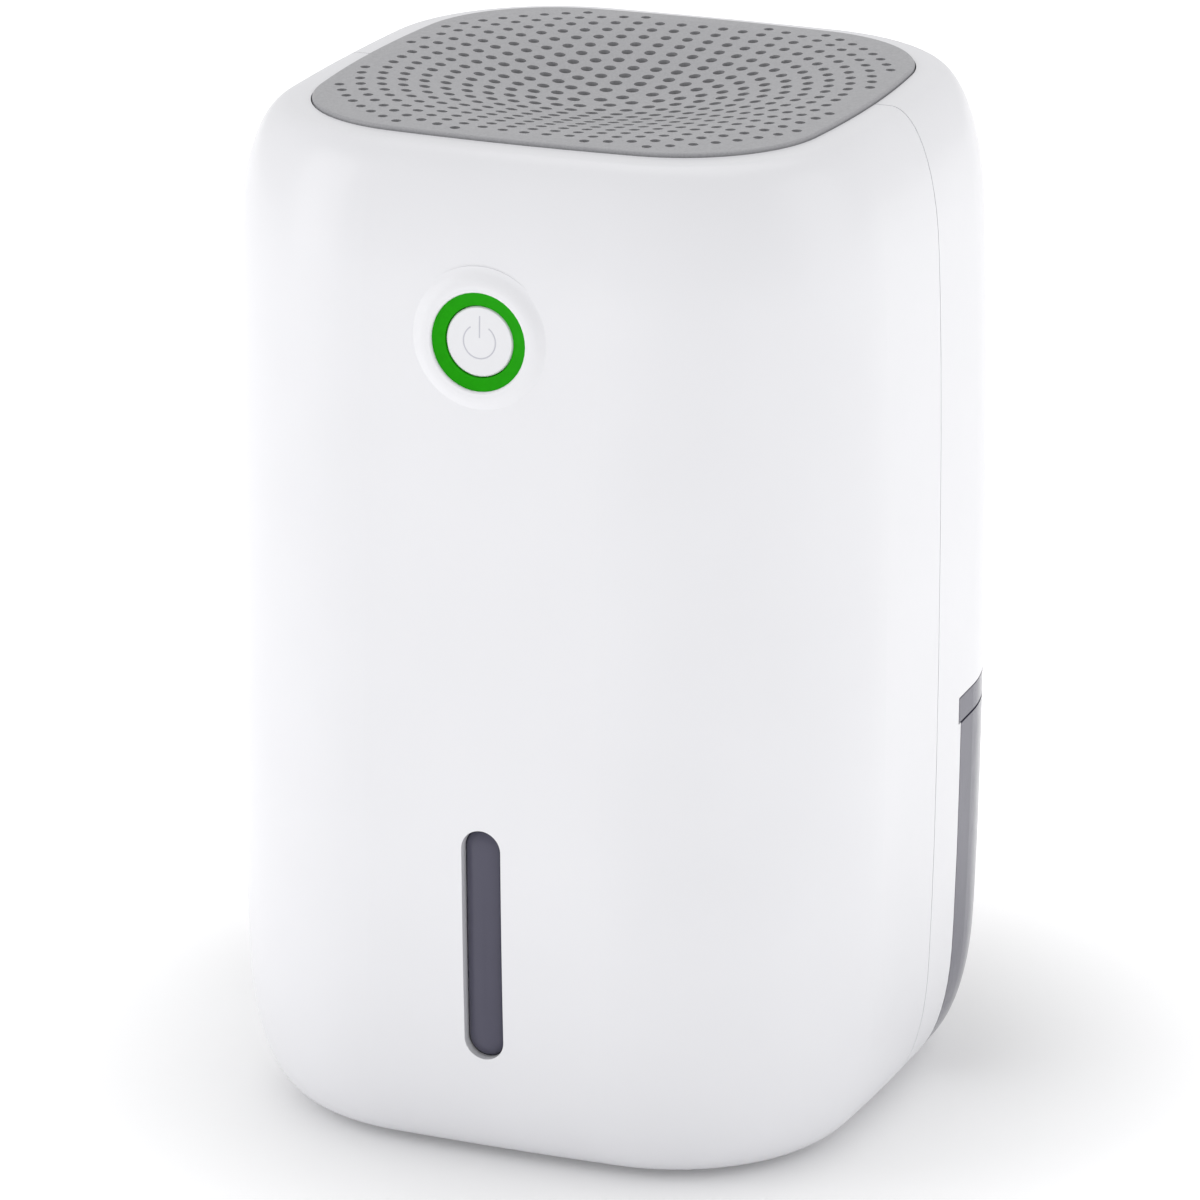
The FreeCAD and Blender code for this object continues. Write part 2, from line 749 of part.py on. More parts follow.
def bowl_scoop():
    """Everything above the dish, turned about the grille's middle."""
    steps = 8
    line = [Vector(size.bowl_radius * i / steps, 0, bowl_height(size.bowl_radius * i / steps))
            for i in range(steps + 1)]
    dish = Part.BSplineCurve()
    dish.interpolate(Points=line, InitialTangent=Vector(1, 0, 0), FinalTangent=Vector(1, 0, 0))
    start, end = line[0], line[-1]
    top_end = end + Vector(0, 0, size.bowl_depth)
    top_start = Vector(start.x, 0, top_end.z)
    edges = [dish.toShape(), Part.LineSegment(end, top_end).toShape(),
             Part.LineSegment(top_end, top_start).toShape(), Part.LineSegment(top_start, start).toShape()]
    scoop = Part.Face(Part.Wire(edges)).revolve(Vector(), Vector(0, 0, 1), 360)
    scoop.translate(Vector(0, size.grille_place, 0))
    return scoop


def make_grille():
    top = size.casing_top + size.grille_proud
    blank = Part.Face(grille_line(0, top - size.grille_rim_thickness)).extrude(
        Vector(0, 0, size.grille_rim_thickness))
    edges = [edge for edge in blank.Edges if edge.BoundBox.ZMin > top - size.small_gap]
    rim = given("grille_rim", blank.makeFillet(size.grille_edge, edges))
    bowl_low = top - size.bowl_depth - size.grille_thickness
    scoop = bowl_scoop()
    under = scoop.copy()
    under.translate(Vector(0, 0, -size.grille_thickness))
    plate = grille_prism("grille_plate", -size.ledge_width, bowl_low - 1, top)
    rim_inside = grille_prism("grille_rim_inside", -size.ledge_width, top - FAR / 4, top - size.grille_thickness)
    bowl = common("grille_bowl", plate, given("grille_scoop_under", under))
    holes = [Part.makeCylinder(radius, size.bowl_depth + 2 * size.grille_thickness + 1, Vector(x, y, bowl_low - 1))
             for x, y, radius in hole_places()]
    flat = cut("grille_flat", rim, rim_inside)
    dished = cut("grille_dished", fuse("grille_body", flat, bowl), given("grille_scoop", scoop))
    subpart("top_grille", cut("top_grille_solid", dished, given("grille_holes", Part.makeCompound(holes))))


# ---------------------------------------------------------------- power button group

def make_button_group():
    ring = turned("light_ring_turning", [
        ("ring_radius", "-ring_lip"), ("ring_radius", "wall + small_gap"),
        ("ring_flange_radius", "wall + small_gap"), ("ring_flange_radius", "wall + small_gap + ring_flange_thickness"),
        ("ring_radius", "wall + small_gap + ring_flange_thickness"), ("ring_radius", "ring_length"),
        ("button_radius + button_gap", "ring_length"), ("button_radius + button_gap", "ring_floor"),
        ("button_radius + button_gap + ring_land", "ring_floor")], "XY_Plane")
    subpart("light_ring", in_button_frame(ring))
    cap = turned("button_turning", [
        (0, "button_recess"), ("button_radius - button_edge", "button_recess"),
        ("button_radius", "button_recess + button_edge"), ("button_radius", "ring_length + small_gap"),
        ("button_flange_radius", "ring_length + small_gap"), ("button_flange_radius", "ring_length + small_gap + 1"),
        ("button_stem_radius", "ring_length + small_gap + 1"), ("button_stem_radius", "button_stem_end"),
        (0, "button_stem_end")], "XY_Plane")
    subpart("power_button", in_button_frame(cut("power_button_solid", cap, given("power_icon", power_icon()))))
    front = "board_place - switch_length"
    body = box("switch_block", "-switch_side / 2", front, "-switch_side / 2", "switch_side", "switch_length",
               "switch_side")
    well = cylinder("switch_well_cutter", 0, front + " - 1", 0, "plunger_radius + fit_gap", "switch_well + 1", "Y")
    subpart("switch_body", in_button_frame(cut("switch_body_solid", body, well)))
    tip = "button_stem_end + fit_gap"
    end = tip + " + plunger_length"
    plunger = turned("plunger_turning", [(0, tip), ("plunger_radius", tip), ("plunger_radius", end), (0, end)],
                     "XY_Plane")
    subpart("switch_plunger", in_button_frame(plunger))
    make_control_board()


def power_icon():
    """The power symbol's groove: a ring open at the top and a bar through the opening."""
    front, depth = size.button_recess - 1, 1 + size.icon_depth
    half_line = size.icon_line / 2

    def spot(radius, degrees):
        turn = math.radians(degrees)
        return Vector(radius * math.sin(turn), front, radius * math.cos(turn))

    start, end = size.icon_gap_angle, 360 - size.icon_gap_angle
    outer, inner = size.icon_radius + half_line, size.icon_radius - half_line
    edges = [Part.Arc(spot(outer, start), spot(outer, 180), spot(outer, end)).toShape(),
             Part.LineSegment(spot(outer, end), spot(inner, end)).toShape(),
             Part.Arc(spot(inner, end), spot(inner, 180), spot(inner, start)).toShape(),
             Part.LineSegment(spot(inner, start), spot(outer, start)).toShape()]
    ring = Part.Face(Part.Wire(edges)).extrude(Vector(0, depth, 0))
    bar = Part.makeBox(size.icon_line, depth, size.icon_bar_high - size.icon_bar_low,
                       Vector(-half_line, front, size.icon_bar_low))
    return Part.makeCompound([ring, bar])


def make_control_board():
    board = box("control_board_blank", "-board_width / 2", "board_place", "-board_height / 2", "board_width",
                "board_thickness", "board_height")
    places = [(x, z) for x in ("-board_post_x", "board_post_x") for z in ("-board_post_z", "board_post_z")]
    holes, screws = [], []
    for index, (x, z) in enumerate(places):
        holes.append(cylinder("board_hole%d" % index, x, "board_place - 1", z, "small_screw_radius + small_gap",
                              5, "Y"))
        screws.append(cylinder("board_screw%d" % index, x, "board_place + board_thickness - small_screw_length", z,
                               "small_screw_radius", "small_screw_length + fit_gap + 0.2", "Y"))
        screws.append(cylinder("board_head%d" % index, x, "board_place + board_thickness + fit_gap", z,
                               "small_screw_head_radius", "small_screw_head_height", "Y"))
    subpart("control_board", in_button_frame(cut("control_board_solid", board, *holes)))
    subpart("control_board_screws", in_button_frame(fuse("control_board_screws_solid", *screws)))
    leds = []
    for index in range(4):
        turn = "%d" % (45 + 90 * index)
        x, z = "led_circle * cos(%s)" % turn, "led_circle * sin(%s)" % turn
        leds.append(cylinder("led%d" % index, x, "board_place - led_length", z, "led_radius", "led_length", "Y"))
        dome = doc.addObject("Part::Sphere", "led_dome%d" % index)
        bind(dome, Radius="led_radius")
        leds.append(move(dome, x, "board_place - led_length", z))
    subpart("ring_lights", in_button_frame(fuse("ring_lights_solid", *leds)))


# ---------------------------------------------------------------- water tank

def tall_box(name, front, low, height):
    """A wide slab behind a front plane, used to take a stretch of the casing's form."""
    return box(name, -FAR / 2, front, low, FAR, FAR, height)


def make_tank():
    drawer_face = Part.Face(casing_outline(size.drawer_inset, size.tank_floor))
    drawer_height = size.tank_top - size.lip_height - size.tank_floor
    drawer = cut("drawer_blank", given("drawer_prism", drawer_face.extrude(Vector(0, 0, drawer_height))),
                 tall_box("drawer_trim", "tank_front_edge + tank_wall / 2", 0, "tank_top + 10"))
    flush = common("tank_outer", outer_skin, tall_box("tank_outer_slab", "tank_front_edge", "tank_floor",
                                                      "tank_top - lip_height - tank_floor + 0.01"))
    lip = common("tank_lip", outer_skin, tall_box("tank_lip_slab", "tank_front_edge - lip_lead",
                                                  "tank_top - lip_height", "lip_height"))
    boss_skin = casing_skin("boss_skin", size.wall + size.tank_gap)
    boss = common("level_boss", boss_skin, given("level_boss_pill", pill(
        size.boss_half_width, size.boss_low, size.boss_high, -FAR / 2, FAR / 2 - 55)))
    grip = common("grip_wall", outer_skin, box("grip_block", "-grip_half_width - tank_wall",
                                               "casing_depth / 2 - grip_depth - tank_wall", "grip_low - tank_wall",
                                               "2 * grip_half_width + 2 * tank_wall", 40,
                                               "grip_high - grip_low + 2 * tank_wall"))
    ears = float_ears()
    shell = cut("tank_shell", fuse("tank_blank", drawer, flush, lip, boss), lip_groove(), *tank_cavities())
    grip_room = box("grip_room", "-grip_half_width", "casing_depth / 2 - grip_depth", "grip_low",
                    "2 * grip_half_width", 40, "grip_high - grip_low")
    pin_hole = cylinder("float_pin_hole", "float_place - 20", "float_pivot_y", "float_pivot_z",
                        "float_pin_radius + fit_gap", 40, "X")
    subpart("water_tank", cut("water_tank_solid", fuse("tank_body", shell, grip, *ears), grip_room, pin_hole))


def lip_groove():
    """The fine shadow line round the tank's outer part, just below its lip."""
    band = tall_box("groove_band", "tank_front_edge", "tank_top - lip_height - groove_height", "groove_height")
    return cut("lip_groove", band, casing_skin("groove_skin", size.groove_depth))


def tank_cavities():
    """The water space: the outer part, the drawer, the lip and the hollow behind the level boss."""
    floor = "tank_floor + tank_wall"
    cavity_skin = casing_skin("cavity_skin", size.tank_wall)
    outer = common("outer_cavity", cavity_skin, tall_box("outer_cavity_slab", "tank_front_edge + tank_wall", floor,
                                                         "tank_top"))
    lip = common("lip_cavity", cavity_skin, tall_box("lip_cavity_slab", "tank_front_edge - lip_lead - 1",
                                                     "tank_top - lip_height", "lip_height + 1"))
    drawer_face = Part.Face(casing_outline(size.drawer_inset + size.tank_wall, size.tank_floor + size.tank_wall))
    drawer = cut("drawer_cavity", given("drawer_cavity_prism", drawer_face.extrude(Vector(0, 0, size.tank_top))),
                 tall_box("drawer_cavity_trim", "tank_front_edge + tank_wall + 0.5", 0, "2 * tank_top"))
    boss_inside = casing_skin("boss_inside_skin", size.wall + size.tank_gap + size.boss_wall)
    boss = common("boss_cavity", boss_inside, given("boss_cavity_pill", pill(
        size.boss_half_width - size.boss_wall, size.boss_low + size.boss_wall, size.boss_high - size.boss_wall,
        -FAR / 2, FAR / 2 - 57)))
    return [outer, lip, drawer, boss]


def float_ears():
    ears = []
    wall_face = "-casing_depth / 2 + drawer_inset + tank_wall / 2"
    for index, x in enumerate(("float_place - float_ear_gap / 2 - float_ear_width",
                               "float_place + float_ear_gap / 2")):
        ears.append(box("float_ear_arm%d" % index, x, wall_face, "float_pivot_z - float_ear_radius",
                        "float_ear_width", "float_pivot_y - (" + wall_face + ")", "2 * float_ear_radius"))
        ears.append(cylinder("float_ear_end%d" % index, x, "float_pivot_y", "float_pivot_z", "float_ear_radius",
                             "float_ear_width", "X"))
    return ears


def make_lid():
    low = "tank_top - lip_height + 2 * fit_gap"
    lid_low = size.tank_top - size.lip_height + 2 * size.fit_gap
    front_face = Part.Face(casing_outline(size.drawer_inset, lid_low))
    front = cut("lid_front", given("lid_front_prism", front_face.extrude(Vector(0, 0, size.lid_thickness))),
                tall_box("lid_front_trim", "tank_front_edge", 0, "tank_top + 10"))
    rear = common("lid_rear", casing_skin("lid_skin", size.wall + size.tank_gap),
                  tall_box("lid_rear_slab", "tank_front_edge - lip_lead + tank_gap", low, "lid_thickness"))
    funnel = cone("funnel", 0, "drip_place", low + " - 2 * funnel_wall", "drip_hole_radius + funnel_wall",
                  "funnel_radius + funnel_wall", "2 * funnel_wall + lid_thickness / 2")
    scoop = cone("funnel_scoop", 0, "drip_place", low + " - funnel_wall", "drip_hole_radius", "funnel_radius",
                 "funnel_wall + lid_thickness + 0.01")
    hole = cylinder("drip_hole", 0, "drip_place", low + " - 10", "drip_hole_radius", 20)
    plug_hole = cylinder("plug_hole", "-plug_place_x", "plug_place_y", low + " - 5", "plug_radius + fit_gap", 10)
    subpart("tank_lid", cut("tank_lid_solid", fuse("lid_blank", front, rear, funnel), scoop, hole, plug_hole))
    top = "(" + low + ") + lid_thickness + fit_gap"
    plug = turned("drain_plug_turning", [
        (0, "-plug_depth"), ("plug_radius - plug_taper", "-plug_depth"),
        ("plug_radius", "-plug_depth + 2 * plug_taper"),
        ("plug_radius", 0), ("plug_head_radius", 0), ("plug_head_radius", "plug_head_height"),
        ("plug_knob_radius", "plug_head_height"), ("plug_knob_radius", "plug_head_height + plug_knob_height"),
        (0, "plug_head_height + plug_knob_height")])
    subpart("drain_plug", move(plug, "-plug_place_x", "plug_place_y", top))


def make_float():
    boss = cylinder("float_boss", "float_place - float_ear_gap / 2 + small_gap", "float_pivot_y", "float_pivot_z",
                    "float_ear_radius", "float_ear_gap - 2 * small_gap", "X")
    arm = box("float_lever", "float_place - float_arm_width / 2", "float_pivot_y",
              "float_pivot_z - float_arm_thickness / 2", "float_arm_width", "float_arm + 1", "float_arm_thickness")
    block = box("float_block", "float_place - float_width / 2", "float_pivot_y + float_arm",
                "float_pivot_z - float_height", "float_width", "float_length", "float_height")
    bore = cylinder("float_bore", "float_place - 20", "float_pivot_y", "float_pivot_z",
                    "float_pin_radius + fit_gap", 40, "X")
    magnet_y = "float_pivot_y + float_arm + float_length / 2"
    pocket = cylinder("magnet_pocket", "float_place", magnet_y, "float_pivot_z - magnet_depth",
                      "magnet_radius + fit_gap", 10)
    subpart("float", cut("float_solid", fuse("float_body", boss, arm, block), bore, pocket))
    subpart("float_magnet", cylinder("float_magnet_solid", "float_place", magnet_y,
                                     "float_pivot_z - magnet_depth + fit_gap", "magnet_radius", "magnet_height"))
    subpart("float_pin", cylinder("float_pin_solid", "float_place - float_ear_gap / 2 - float_ear_width - 0.5",
                                  "float_pivot_y", "float_pivot_z", "float_pin_radius",
                                  "float_ear_gap + 2 * float_ear_width + 1", "X"))


# ---------------------------------------------------------------- deck, drip tray, cooling stack

def make_deck():
    inset = skin_inset(size.deck_place) + size.wall + size.deck_gap
    plate = casing_prism("deck_plate", inset, size.deck_place, size.deck_place + size.deck_thickness)
    spout_hole = cylinder("spout_room", 0, "drip_place", "deck_place - 1", "spout_radius + small_gap", 10)
    posts, pilots = [], []
    for index, (x, y) in enumerate(standoff_places()):
        posts.append(cylinder("standoff%d" % index, x, y, "deck_place + deck_thickness - 0.5", "standoff_radius",
                              "standoff_height + 0.5 - fit_gap"))
        pilots.append(cylinder("standoff_hole%d" % index, x, y, "deck_place + 1", "small_screw_radius + fit_gap",
                               20))
    subpart("deck", cut("deck_solid", fuse("deck_blank", plate, *posts), spout_hole, *pilots))


def standoff_places():
    near, far = "power_board_front + standoff_inset", "power_board_front + power_board_depth - standoff_inset"
    left, right = "-power_board_width / 2 + standoff_inset", "power_board_width / 2 - standoff_inset"
    return [(left, near), (left, far), (right, near), (right, far)]


def make_drip_tray():
    low = "deck_place + deck_thickness + small_gap"
    outer = box("tray_block", "-tray_half_width", "tray_front", low, "2 * tray_half_width", "tray_rear - tray_front",
                "tray_height")
    inner = box("tray_room", "-tray_half_width + tray_wall", "tray_front + tray_wall", low + " + tray_wall",
                "2 * tray_half_width - 2 * tray_wall", "tray_rear - tray_front - 2 * tray_wall", "tray_height")
    spout = cylinder("spout", 0, "drip_place", "deck_place - spout_drop / 2", "spout_radius",
                     "deck_thickness + small_gap + spout_drop / 2 + 0.5")
    bore = cylinder("spout_bore", 0, "drip_place", "deck_place - 10", "spout_radius - tray_wall", 20)
    subpart("drip_tray", cut("drip_tray_solid", fuse("drip_tray_blank", outer, spout), inner, bore))


def finned_sink(name, width, height, base, fin_depth, fins, fin_thickness):
    """A flat base in the XZ plane with upright fins standing towards -Y, patterned across."""
    body = doc.addObject("PartDesign::Body", name)
    plate = profile(body, "XZ_Plane", [("-" + width + " / 2", "-" + height + " / 2"),
                                       (width + " / 2", "-" + height + " / 2"),
                                       (width + " / 2", height + " / 2"), ("-" + width + " / 2", height + " / 2")])
    pad = body.newObject("PartDesign::Pad", name + "_plate")
    pad.Profile = plate
    pad.Reversed = True
    bind(pad, Length=base)
    fin_sketch = profile(body, "XZ_Plane", [("-" + width + " / 2", "-" + height + " / 2"),
                                            ("-" + width + " / 2 + " + fin_thickness, "-" + height + " / 2"),
                                            ("-" + width + " / 2 + " + fin_thickness, height + " / 2"),
                                            ("-" + width + " / 2", height + " / 2")])
    fin = body.newObject("PartDesign::Pad", name + "_fin")
    fin.Profile = fin_sketch
    bind(fin, Length=fin_depth)
    row = body.newObject("PartDesign::LinearPattern", name + "_row")
    row.Originals = [fin]
    row.Direction = (fin_sketch, ["H_Axis"])
    bind(row, Length=width + " - " + fin_thickness, Occurrences=fins)
    body.Tip = row
    return body


def stack_screw_places():
    return [(x, z) for x in ("-stack_screw_spread", "stack_screw_spread")
            for z in ("stack_height - stack_screw_spread", "stack_height + stack_screw_spread")]


def make_cooling_stack():
    hot = finned_sink("hot_sink_body", "hot_width", "hot_height", "hot_base", "hot_fin_depth", "hot_fins",
                      "hot_fin_thickness")
    move(hot, 0, "module_place - hot_base", "stack_height")
    cold = finned_sink("cold_sink_body", "cold_side", "cold_side", "cold_base", "cold_fin_depth", "cold_fins",
                       "cold_fin_thickness")
    cold.Placement = Placement(Vector(), Rotation(Vector(0, 0, 1), 180))
    move(cold, 0, "module_place + module_thickness + cold_base", "stack_height")
    module = box("module_block", "-module_side / 2", "module_place + fit_gap", "stack_height - module_side / 2",
                 "module_side", "module_thickness - 2 * fit_gap", "module_side")
    gasket_block = box("gasket_block", "-gasket_side / 2", "module_place + fit_gap",
                       "stack_height - gasket_side / 2", "gasket_side", "module_thickness - 2 * fit_gap",
                       "gasket_side")
    window = box("gasket_window", "-module_side / 2 - small_gap", "module_place - 1",
                 "stack_height - module_side / 2 - small_gap", "module_side + 2 * small_gap", 10,
                 "module_side + 2 * small_gap")
    hot_holes, cold_holes, gasket_holes, screws = [], [], [], []
    head_face = "module_place + module_thickness + cold_base + fit_gap"
    for index, (x, z) in enumerate(stack_screw_places()):
        hot_holes.append(cylinder("hot_hole%d" % index, x, "module_place - hot_base + 0.5", z,
                                  "screw_radius + fit_gap", 10, "Y"))
        cold_holes.append(cylinder("cold_hole%d" % index, x, "module_place", z, "screw_radius + small_gap", 20, "Y"))
        gasket_holes.append(cylinder("gasket_hole%d" % index, x, "module_place - 1", z, "screw_radius + small_gap",
                                     20, "Y"))
        screws.append(cylinder("stack_screw%d" % index, x, head_face + " - stack_screw_length", z, "screw_radius",
                               "stack_screw_length + 0.5", "Y"))
        screws.append(cylinder("stack_head%d" % index, x, head_face, z, "screw_head_radius", "screw_head_height",
                               "Y"))
    subpart("hot_sink", cut("hot_sink_solid", hot, *hot_holes))
    subpart("cold_sink", cut("cold_sink_solid", cold, *cold_holes))
    subpart("peltier_module", module)
    subpart("sink_gasket", cut("sink_gasket_solid", gasket_block, window, *gasket_holes))
    subpart("sink_screws", fuse("sink_screws_solid", *screws))


def make_partition():
    low = "deck_place + deck_thickness + fit_gap"
    wall = box("partition_wall", "-partition_half_width", "module_place + 2 * fit_gap", low,
               "2 * partition_half_width", "partition_thickness",
               "duct_place - deck_place - deck_thickness - 2 * fit_gap")
    window = box("partition_window", "-gasket_side / 2 - small_gap", "module_place - 1",
                 "stack_height - gasket_side / 2 - small_gap", "gasket_side + 2 * small_gap", 10,
                 "gasket_side + 2 * small_gap")
    slots = [box("air_slot%d" % index, "%s * air_slot_length" % start, "module_place - 1",
                 "deck_place + deck_thickness + air_slot_sill", "air_slot_length", 10, "air_slot_height")
             for index, start in enumerate((-2.5, -1.25, 0.25, 1.5))]
    subpart("partition", cut("partition_solid", wall, window, *slots))


# ---------------------------------------------------------------- fan

def make_duct():
    top = size.duct_place + size.duct_thickness
    inset = skin_inset(top) + size.wall + size.deck_gap
    plate = casing_prism("duct_plate", inset, size.duct_place, top)
    mouth = cylinder("duct_mouth", 0, 0, "duct_place - 5", "fan_bore_radius", 20)
    notch = box("duct_notch", "-board_width / 2 - 3", "-casing_depth / 2", "duct_place - 5", "board_width + 6",
                "board_place + board_thickness + 6", 20)
    pilots = [cylinder("duct_pilot%d" % index, x, y, "duct_place - 5", "screw_radius + fit_gap", 20)
              for index, (x, y) in enumerate(fan_screw_places())]
    subpart("fan_duct", cut("fan_duct_solid", plate, mouth, notch, *pilots))


def fan_screw_places():
    return [(x, y) for x in ("-fan_screw_spread", "fan_screw_spread")
            for y in ("-fan_screw_spread", "fan_screw_spread")]


def make_fan_frame():
    base = "duct_place + duct_thickness + fit_gap"
    block = box("fan_block", "-fan_side / 2", "-fan_side / 2", base, "fan_side", "fan_side", "fan_height")
    bore = cylinder("fan_bore", 0, 0, "duct_place", "fan_bore_radius", "fan_height + 20")
    ring = cut("fan_ring", block, bore)
    cross = [box("strut_x", "-fan_side / 2 + 0.5", "-strut_width / 2", base, "fan_side - 1", "strut_width",
                 "strut_thickness"),
             box("strut_y", "-strut_width / 2", "-fan_side / 2 + 0.5", base, "strut_width", "fan_side - 1",
                 "strut_thickness"),
             cylinder("motor_plate", 0, 0, base, "stator_radius + 1", "strut_thickness")]
    holes = [cylinder("fan_hole%d" % index, x, y, "duct_place - 5", "screw_radius + small_gap", "fan_height + 20")
             for index, (x, y) in enumerate(fan_screw_places())]
    shaft_room = cylinder("shaft_room", 0, 0, base + " + 1", "shaft_radius + small_gap", 10)
    subpart("fan_frame", cut("fan_frame_solid", fuse("fan_frame_blank", ring, *cross), shaft_room, *holes))
    screws = []
    head_face = "duct_place + duct_thickness + 2 * fit_gap + fan_height"
    for index, (x, y) in enumerate(fan_screw_places()):
        screws.append(cylinder("fan_screw%d" % index, x, y, "duct_place + 0.5", "screw_radius",
                               "duct_thickness + fan_height"))
        screws.append(cylinder("fan_head%d" % index, x, y, head_face, "screw_head_radius", "screw_head_height"))
    subpart("fan_screws", fuse("fan_screws_solid", *screws))


def make_rotor():
    stator_low = "duct_place + duct_thickness + strut_thickness + 2 * fit_gap"
    hub_low = stator_low + " + rotor_clearance"
    stator = cut("fan_stator_solid", cylinder("stator_block", 0, 0, stator_low, "stator_radius", "stator_height"),
                 cylinder("stator_bore", 0, 0, "duct_place", "shaft_radius + fit_gap", 60))
    subpart("fan_stator", stator)
    hub = cylinder("hub_block", 0, 0, hub_low, "hub_radius", "hub_height")
    hollow = cylinder("hub_room", 0, 0, hub_low + " - 1", "hub_radius - hub_wall", "hub_height - hub_wall + 1")
    shaft_hole = cylinder("hub_shaft_hole", 0, 0, hub_low, "shaft_radius", "hub_height - hub_wall / 2")
    blades = given("fan_blades", fan_blades())
    subpart("fan_rotor", cut("fan_rotor_solid", fuse("rotor_body", hub, blades), hollow, shaft_hole))
    subpart("rotor_shaft", cylinder("rotor_shaft_solid", 0, 0, hub_low + " - 0.5", "shaft_radius",
                                    "hub_height - hub_wall / 2 + 0.5"))


def fan_blades():
    """Pitched blades lofted from the hub out and trimmed to a round tip."""
    base = (size.duct_place + size.duct_thickness + size.strut_thickness + 2 * size.fit_gap
            + size.rotor_clearance)
    middle = base + size.hub_height / 2
    sections = []
    for reach, chord, pitch in ((size.hub_radius - size.hub_wall / 2, size.hub_radius * 0.95, 42.0),
                                (size.blade_tip_radius + 2, size.blade_tip_radius * 0.56, 28.0)):
        turn = math.radians(pitch)
        along = Vector(0, math.cos(turn), math.sin(turn)) * chord / 2
        across = Vector(0, -math.sin(turn), math.cos(turn)) * size.blade_thickness / 2
        centre = Vector(reach, 0, middle)
        ring = [centre - along - across, centre + along - across, centre + along + across, centre - along + across]
        sections.append(Part.makePolygon(ring + ring[:1]))
    blade = Part.makeLoft(sections, True, True)
    blade = blade.common(Part.makeCylinder(size.blade_tip_radius, size.fan_height, Vector(0, 0, base - 1)))
    blades = []
    count = int(size.blade_count)
    for index in range(count):
        copy = blade.copy()
        copy.rotate(Vector(), Vector(0, 0, 1), 360.0 * index / count)
        blades.append(copy)
    return Part.makeCompound(blades)


# ---------------------------------------------------------------- electrics, filter and sensor

def make_power_board():
    face = "deck_place + deck_thickness + standoff_height"
    board = box("power_board_blank", "-power_board_width / 2", "power_board_front", face, "power_board_width",
                "power_board_depth", "board_thickness")
    holes, screws = [], []
    for index, (x, y) in enumerate(standoff_places()):
        holes.append(cylinder("power_hole%d" % index, x, y, face + " - 1", "small_screw_radius + small_gap", 5))
        screws.append(cylinder("power_screw%d" % index, x, y, face + " + board_thickness - small_screw_length + 1.5",
                               "small_screw_radius", "small_screw_length - 1.4"))
        screws.append(cylinder("power_head%d" % index, x, y, face + " + board_thickness + fit_gap",
                               "small_screw_head_radius", "small_screw_head_height"))
    subpart("power_board", cut("power_board_solid", board, *holes))
    subpart("power_board_screws", fuse("power_board_screws_solid", *screws))
    top = "(" + face + ") + board_thickness + fit_gap"
    middle_y = "power_board_front + power_board_depth / 2"
    cans = [cylinder("capacitor%d" % index, "%s * capacitor_pitch" % place, middle_y, top, "capacitor_radius",
                     "capacitor_height")
            for index, place in enumerate((-1.5, -0.5, 0.5))]
    subpart("capacitors", fuse("capacitors_solid", *cans))
    coil = doc.addObject("Part::Torus", "power_coil_solid")
    bind(coil, Radius1="coil_radius", Radius2="coil_wire_radius")
    subpart("power_coil", move(coil, "coil_place", middle_y, top + " + coil_wire_radius"))


def make_jack():
    mouth = "casing_depth / 2 - jack_recess"
    shoulder = mouth + " - wall - jack_barrel_length"
    block = box("jack_block", "jack_place_x - jack_body_width / 2", shoulder + " - jack_body_length",
                "jack_place_z - jack_body_height / 2", "jack_body_width", "jack_body_length", "jack_body_height")
    barrel = cylinder("jack_barrel", "jack_place_x", shoulder + " - 0.5", "jack_place_z", "jack_barrel_radius",
                      "wall + jack_barrel_length + 0.5", "Y")
    socket = cylinder("jack_socket", "jack_place_x", mouth + " - jack_socket_depth", "jack_place_z",
                      "jack_socket_radius", "jack_socket_depth + 5", "Y")
    pin = cylinder("jack_pin", "jack_place_x", mouth + " - jack_socket_depth - 1", "jack_place_z",
                   "jack_pin_radius", "jack_socket_depth + 1 - jack_pin_recess", "Y")
    subpart("dc_jack", fuse("dc_jack_solid", cut("jack_shell", fuse("jack_body", block, barrel), socket), pin))
    nut = cut("jack_nut_solid",
              cylinder("jack_nut_blank", "jack_place_x", shoulder + " + fit_gap", "jack_place_z", "jack_nut_radius",
                       "jack_nut_width", "Y"),
              cylinder("jack_nut_bore", "jack_place_x", shoulder + " - 1", "jack_place_z",
                       "jack_barrel_radius + fit_gap", 10, "Y"))
    subpart("jack_nut", nut)


def make_filter():
    subpart("intake_filter", box(
        "intake_filter_solid", "-louvre_half_width - filter_margin",
        "casing_depth / 2 - wall - filter_back_gap - filter_thickness", "louvre_low - filter_margin",
        "2 * louvre_half_width + 2 * filter_margin", "filter_thickness",
        "louvre_count * louvre_pitch - louvre_pitch + louvre_height + 2 * filter_margin"))


def make_sensor():
    """A reed switch lying on the deck over the float's magnet."""
    subpart("level_sensor", cylinder("level_sensor_solid", "float_place - sensor_length / 2",
                                     "float_pivot_y + float_arm + float_length / 2",
                                     "deck_place + deck_thickness + sensor_radius + fit_gap", "sensor_radius",
                                     "sensor_length", "X"))


def main():
    make_casing()
    make_base()
    make_case_screws()
    make_grille()
    make_button_group()
    make_tank()
    make_lid()
    make_float()
    make_deck()
    make_drip_tray()
    make_cooling_stack()
    make_partition()
    make_duct()
    make_fan_frame()
    make_rotor()
    make_power_board()
    make_jack()
    make_filter()
    make_sensor()
    doc.recompute()
    for thing in doc.Objects:
        if "Invalid" in thing.State or "Error" in thing.State:
            raise RuntimeError("%s failed: %s" % (thing.Label, thing.State))
    for node, thing in subparts.items():
        if thing.Shape.isNull() or not thing.Shape.isValid():
            raise RuntimeError("%s has no valid shape" % node)
    os.makedirs("parts", exist_ok=True)
    for node, thing in subparts.items():
        thing.Shape.exportStep(os.path.join("parts", node + ".step"))
    print("wrote %d sub-parts" % len(subparts))


main()
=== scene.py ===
"""Looks of a table-top dehumidifier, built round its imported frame.

Run as a script. Metres throughout: +Z up, the front faces -Y, the floor is at Z 0.
"""
import json
import math

